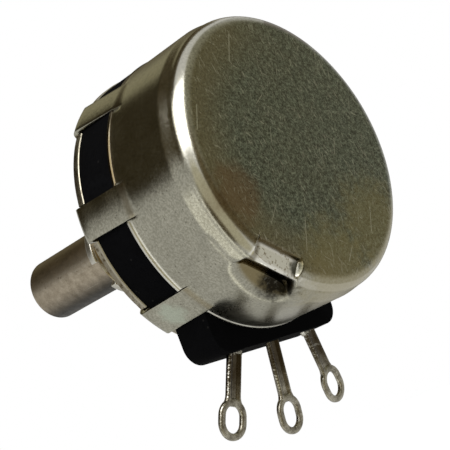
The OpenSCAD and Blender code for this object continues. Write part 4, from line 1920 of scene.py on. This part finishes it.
@dataclass(frozen=True)
class Studio:
    """Pale floor, soft lamps and plain surroundings."""

    floor_z: float = -60.0
    floor_size: float = 4000.0
    floor_tones: Tuple[Colour, Colour] = ((0.84, 0.84, 0.84), (0.8, 0.8, 0.8))
    floor_roughness: float = 0.9
    floor_glow: float = 0.45
    white: Colour = (1.0, 1.0, 1.0)
    fill_light: Colour = (0.75, 0.75, 0.75)
    surroundings: Colour = (0.68, 0.68, 0.66)
    panels: Tuple[DirectionPanel, ...] = ()
    lamps: Tuple[Lamp, ...] = ()

    def build(self, effects: Effects) -> None:
        """Builds floor, lamps and surroundings.

        Args:
            effects: Shared shader effects.
        """
        self._floor()
        for lamp in self.lamps:
            lamp.hang()
        self._world(effects)
        bpy.context.scene.view_settings.view_transform = "Standard"
        LOG.info("studio: %d lamps, %d panels", len(self.lamps), len(self.panels))

    def _floor(self) -> None:
        """Lays the floor, which shows white to the camera and keeps the part's shadow."""
        mesh = MeshBuilder()
        h, z = self.floor_size / 2, self.floor_z
        mesh.face(mesh.points(np.array([(-h, -h, z), (h, -h, z), (h, h, z), (-h, h, z)])))
        floor = mesh.build("floor", outward=False)
        made = bpy.data.materials.new("floor")
        made.use_nodes = True
        g = Graph(made.node_tree)
        shader = made.node_tree.nodes["Principled BSDF"]
        shader.inputs["Roughness"].default_value = self.floor_roughness
        grain = g.noise(g.node("ShaderNodeTexCoord").outputs["Object"], 60.0)
        g.put(shader.inputs["Base Color"], g.mix(g.product(grain, 0.1), *self.floor_tones))
        path = g.node("ShaderNodeLightPath").outputs
        shown = g.math("MAXIMUM", path["Is Camera Ray"], path["Is Transmission Ray"])
        g.put(shader.inputs["Emission Color"], self.white)
        g.put(shader.inputs["Emission Strength"], g.product(shown, self.floor_glow))
        floor.data.materials.append(made)
        floor.visible_glossy = False

    def _world(self, effects: Effects) -> None:
        """Makes the surroundings: white to the camera, soft panels to polished metal.

        Args:
            effects: Shared shader effects.
        """
        world = bpy.data.worlds.new("studio")
        world.use_nodes = True
        world.node_tree.nodes.clear()
        g = Graph(world.node_tree)
        direction = g.node("ShaderNodeTexCoord").outputs["Generated"]
        seen: Value = self.surroundings
        for panel in self.panels:
            inner, outer = (math.cos(math.radians(angle)) for angle in (panel.inner, panel.outer))
            patch = g.group(effects.panel, {"Direction": direction, "Centre": panel.centre, "Inner": inner,
                                            "Outer": outer, "Low": panel.low, "High": panel.high})
            seen = g.mix(patch.outputs[0], seen, panel.level)
        path = g.node("ShaderNodeLightPath").outputs
        shiny = g.math("MAXIMUM", path["Is Glossy Ray"], path["Is Transmission Ray"])
        colour = g.mix(path["Is Camera Ray"], g.mix(shiny, self.fill_light, seen), self.white)
        back = g.node("ShaderNodeBackground", {"Color": colour, "Strength": 1.0})
        g.node("ShaderNodeOutputWorld", {"Surface": back.outputs[0]})
        world.cycles.sampling_method = "NONE"
        bpy.context.scene.world = world


@dataclass(frozen=True)
class PhotoCamera:
    """Camera at the photograph's place and angle."""

    location: Point3 = (85.331, 78.261, -22.070)
    right: Point3 = (-0.65861, 0.66256, -0.35671)
    up: Point3 = (-0.12125, 0.37441, 0.91930)
    forward: Point3 = (-0.74265, -0.64871, 0.16625)
    lens: float = 100.0
    sensor: float = 36.0
    clip: Point2 = (5.0, 20000.0)

    def build(self) -> None:
        """Makes the camera the scene's camera."""
        data = bpy.data.cameras.new("camera")
        data.lens = self.lens
        data.sensor_width = self.sensor
        data.clip_start, data.clip_end = (at * MM for at in self.clip)
        obj = bpy.data.objects.new("camera", data)
        bpy.context.scene.collection.objects.link(obj)
        turn = Matrix((self.right, self.up, -Vector(self.forward))).transposed().to_4x4()
        obj.matrix_world = Matrix.Translation(Vector(self.location) * MM) @ turn
        bpy.context.scene.camera = obj
        LOG.info("camera at %s", self.location)


def cover_zones() -> Tuple[Zone, ...]:
    """Parts of the cover in another tone, the first laid lowest: painted highlight and shade round the rear
    edge, pocket and lip, and a darker band at the tab roots.

    Returns:
        The zones.
    """
    y, z, radius = Measure.Y, Measure.Z, Measure.RADIUS
    across, along, beside = Measure.ACROSS, Measure.ALONG, Measure.BESIDE
    pale, dark = (0.9, 0.88, 0.8), (0.09, 0.065, 0.028)
    # Painted highlight on the rear rounding.
    rounding = Zone(pale, 0.4, ((y, 14.5, 14.4), (y, 13.7, 13.95)))
    # Painted highlight on the pocket's ledge, with rubbed brown patches.
    ledge = Zone(pale, 0.9, ((across, 12.95, 12.75), *rounding.edges, (beside, 2.9, 2.6)), (0.3, 0.24, 0.15))
    # Painted shade on the pocket's side wall.
    flank = Zone(dark, 0.6, ((along, 3.4, 3.75), (along, 4.15, 3.95), (y, 14.75, 14.6), (y, 13.0, 13.3),
                             (z, -5.0, -6.0)))
    # Painted shadow on the step from the face down to the ledge.
    rise = Zone(dark, 0.85, ((across, 11.5, 11.35), (beside, 3.0, 2.6), (y, 14.8, 14.72), (y, 14.32, 14.42)))
    # Painted gold reflection and shade in the pressed-in lower pocket.
    hollow = Zone((0.22, 0.175, 0.085), 0.9, ((radius, 13.15, 12.85), (y, 13.6, 13.2)))
    # Painted shade on the upper side of the flared lip.
    upper_lip = Zone(dark, 0.92, ((y, 5.78, 5.66), (radius, 13.56, 13.5), (z, -4.5, 1.0)))
    # Painted highlight on the lower side of the flared lip.
    lower_lip = Zone(pale, 0.6, ((y, 5.95, 5.85), (radius, 13.56, 13.5), (z, 1.0, -4.5)))
    tab_root = Zone(dark, 0.6, ((radius, 13.4, 13.46), (y, 5.5, 6.2), (y, 7.0, 6.6)))
    return rounding, ledge, flank, rise, hollow, upper_lip, lower_lip, tab_root


def cover_strokes() -> Tuple[Stroke, ...]:
    """Single scratches on the cover's face.

    Returns:
        The scratches.
    """
    y = RearCover.rear_y
    return (
        Stroke((10.6, y, 4.5), (11.6, y, 2.4), 0.07, 0.65),
        Stroke((3.2, y, 10.8), (4.5, y, 8.3), 0.07, 0.6),
        Stroke((2.8, y, -6.4), (4.2, y, -9.2), 0.06, 0.55),
        Stroke((-6.6, y, -6.6), (-5.4, y, -8.8), 0.06, 0.6),
        Stroke((-5.5, y, 0.3), (-4.6, y, -1.2), 0.06, 0.5),
        Stroke((2.0, y, 5.0), (3.2, y, 4.2), 0.05, 0.45),
        Stroke((5.8, y, -4.9), (7.2, y, -6.3), 0.05, 0.5),
        Stroke((-1.9, y, -9.7), (-0.7, y, -10.9), 0.06, 0.55),
        Stroke((-7.9, y, 8.0), (-8.1, y, 6.5), 0.05, 0.5),
    )


def cover_stains() -> Tuple[Stain, ...]:
    """Blotches on the cover: three on the face, three on the wall and two in the pocket, the deeper one
    painted shadow.

    Returns:
        The stains.
    """
    y = RearCover.rear_y
    return (
        Stain((9.8, y, -3.4), 3.0, (0.19, 0.105, 0.05), 0.5, 0.4),
        Stain((1.0, y, -11.4), 5.2, (0.34, 0.28, 0.12), 0.42, 0.4),
        Stain((-6.6, y, -8.6), 5.6, (0.33, 0.27, 0.11), 0.4, 0.4),
        Stain((9.84, 3.0, -9.84), 1.5, (0.5, 0.56, 0.46), 0.6),
        Stain((13.7, 3.4, 1.2), 1.0, (0.1, 0.09, 0.05), 0.45),
        Stain((6.7, 7.05, -11.6), 1.6, (0.08, 0.06, 0.04), 0.35),
        # Painted shadow: near-black in the pocket's deep end.
        Stain((6.3, 12.3, -10.8), 1.9, (0.012, 0.01, 0.007), 0.98),
        Stain((5.7, 14.3, -10.3), 0.8, (0.05, 0.05, 0.035), 0.85),
    )


def finishes() -> Dict[Slot, Finish]:
    """Finish of each material slot.

    Returns:
        The finishes by slot.
    """
    forward, upward, shaft_side = (0.0, -1.0, 0.0), (0.0, 0.0, 1.0), (0.25, 0.0, 0.968)
    made = [
        MetalFinish(
            "plate_metal", (0.5, 0.46, 0.36), (0.12, 0.1, 0.06),
            roughness=0.26, tarnish=0.5, scale=1200.0, lines=0.08, wear_and_highlight=(0.42, 0.39, 0.31),
            shades=(Shade(forward, -1.12, -1.04, (0.07, 0.046, 0.018), 0.93),
                    Shade(forward, -0.64, -0.57, (0.38, 0.35, 0.27), 0.85))),
        MetalFinish("bushing_metal", (0.42, 0.32, 0.16), (0.08, 0.05, 0.02), roughness=0.28, tarnish=0.6),
        MetalFinish(
            "shaft_steel", (0.48, 0.415, 0.325), (0.11, 0.085, 0.05),
            roughness=0.34, tarnish=0.55, scale=1300.0,
            line_rotation=(0.0, 0.0, math.radians(90.0)), lines=0.1,
            # Painted shade: darker along the shaft's upper side, near-black along its underside.
            shades=(Shade(shaft_side, 0.4, 2.7, (0.12, 0.08, 0.03), 0.85),
                    Shade(shaft_side, -0.5, -2.75, (0.018, 0.016, 0.013), 0.97))),
        MetalFinish("ring_steel", (0.58, 0.56, 0.5), (0.1, 0.09, 0.06), roughness=0.25, tarnish=0.3),
        MouldedFinish("black_moulding"),
        MouldedFinish("carbon", (0.012, 0.012, 0.012), (0.04, 0.04, 0.04), roughness=0.7),
        MetalFinish("plated_contact", (0.72, 0.66, 0.5), (0.3, 0.22, 0.1), roughness=0.28, tarnish=0.2),
        # The near-white edge colour paints bright highlights on the eyes' rims; the band darkens the strip
        # towards the block.
        MetalFinish(
            "terminal_tin", (0.52, 0.49, 0.4), (0.06, 0.045, 0.025),
            roughness=0.17, tarnish=0.85, scale=1900.0,
            lines=0.2, hollow=0.9, wear_and_highlight=(0.95, 0.93, 0.84), bump_depth=0.03,
            shades=(Shade(upward, -19.3, -16.2, (0.04, 0.026, 0.01), 0.9),)),
        MouldedFinish("brown_moulding", (0.05, 0.03, 0.02), (0.09, 0.06, 0.04), roughness=0.5),
        MetalFinish("spring_bronze", (0.62, 0.48, 0.28), (0.25, 0.15, 0.06), roughness=0.26, tarnish=0.25),
        CoverFinish(zones=cover_zones(), strokes=cover_strokes(), stains=cover_stains()),
    ]
    return {Slot(finish.name): finish for finish in made}


def studio() -> Studio:
    """Settings of the studio.

    Returns:
        The studio.
    """
    return Studio(
        panels=(
            DirectionPanel((0.82, 0.42, -0.38), 32.0, 42.0, (0.5, 0.47, 0.34)),
            DirectionPanel((0.0, 1.0, 0.0), 26.0, 38.0, (0.2, 0.16, 0.085)),
            DirectionPanel((0.835, -0.09, -0.543), 12.0, 20.0, (0.15, 0.12, 0.07)),
            DirectionPanel((-0.743, 0.649, 0.166), 16.0, 30.0, (0.45, 0.44, 0.4)),
            DirectionPanel((-0.45, 0.707, 0.54), 26.0, 42.0, (0.4, 0.39, 0.3)),
            DirectionPanel((0.6, -0.3, -0.74), 38.0, 48.0, (1.6, 1.6, 1.5), -0.46, -0.27),
            DirectionPanel((-0.262, -0.643, 0.72), 24.0, 34.0, (0.38, 0.35, 0.225)),
            DirectionPanel((-0.736, -0.643, 0.211), 12.0, 36.0, (0.12, 0.1, 0.06)),
            DirectionPanel((0.428, -0.643, 0.635), 29.5, 36.5, (0.05, 0.04, 0.02)),
            DirectionPanel((0.235, -0.423, 0.875), 50.0, 56.0, (0.09, 0.07, 0.035), -0.54, -0.14),
        ),
        lamps=(Lamp("overhead", (0.65, 0.36, 0.68), 230.0, (290.0, 176.0), 3.3),),
    )


def main() -> None:
    """Builds the scene."""
    logging.basicConfig(level=logging.INFO, format="%(name)s: %(message)s")
    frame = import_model()
    PhotoCamera().build()
    effects = Effects()
    palette = Palette(finishes(), effects)
    pieces: List[Piece] = [
        RearCover(),
        FrontPlate(),
        Bushing(),
        Shaft(),
        RetainingRing(),
        Terminal("terminal_left", 20.0),
        Terminal("terminal_centre", 0.0, limb_end=4.56),
        Terminal("terminal_right", -20.0),
    ]
    for piece in pieces:
        piece.place(palette)
    SolidNodes().dress(frame, palette)
    studio().build(effects)


if __name__ == "__main__":
    main()
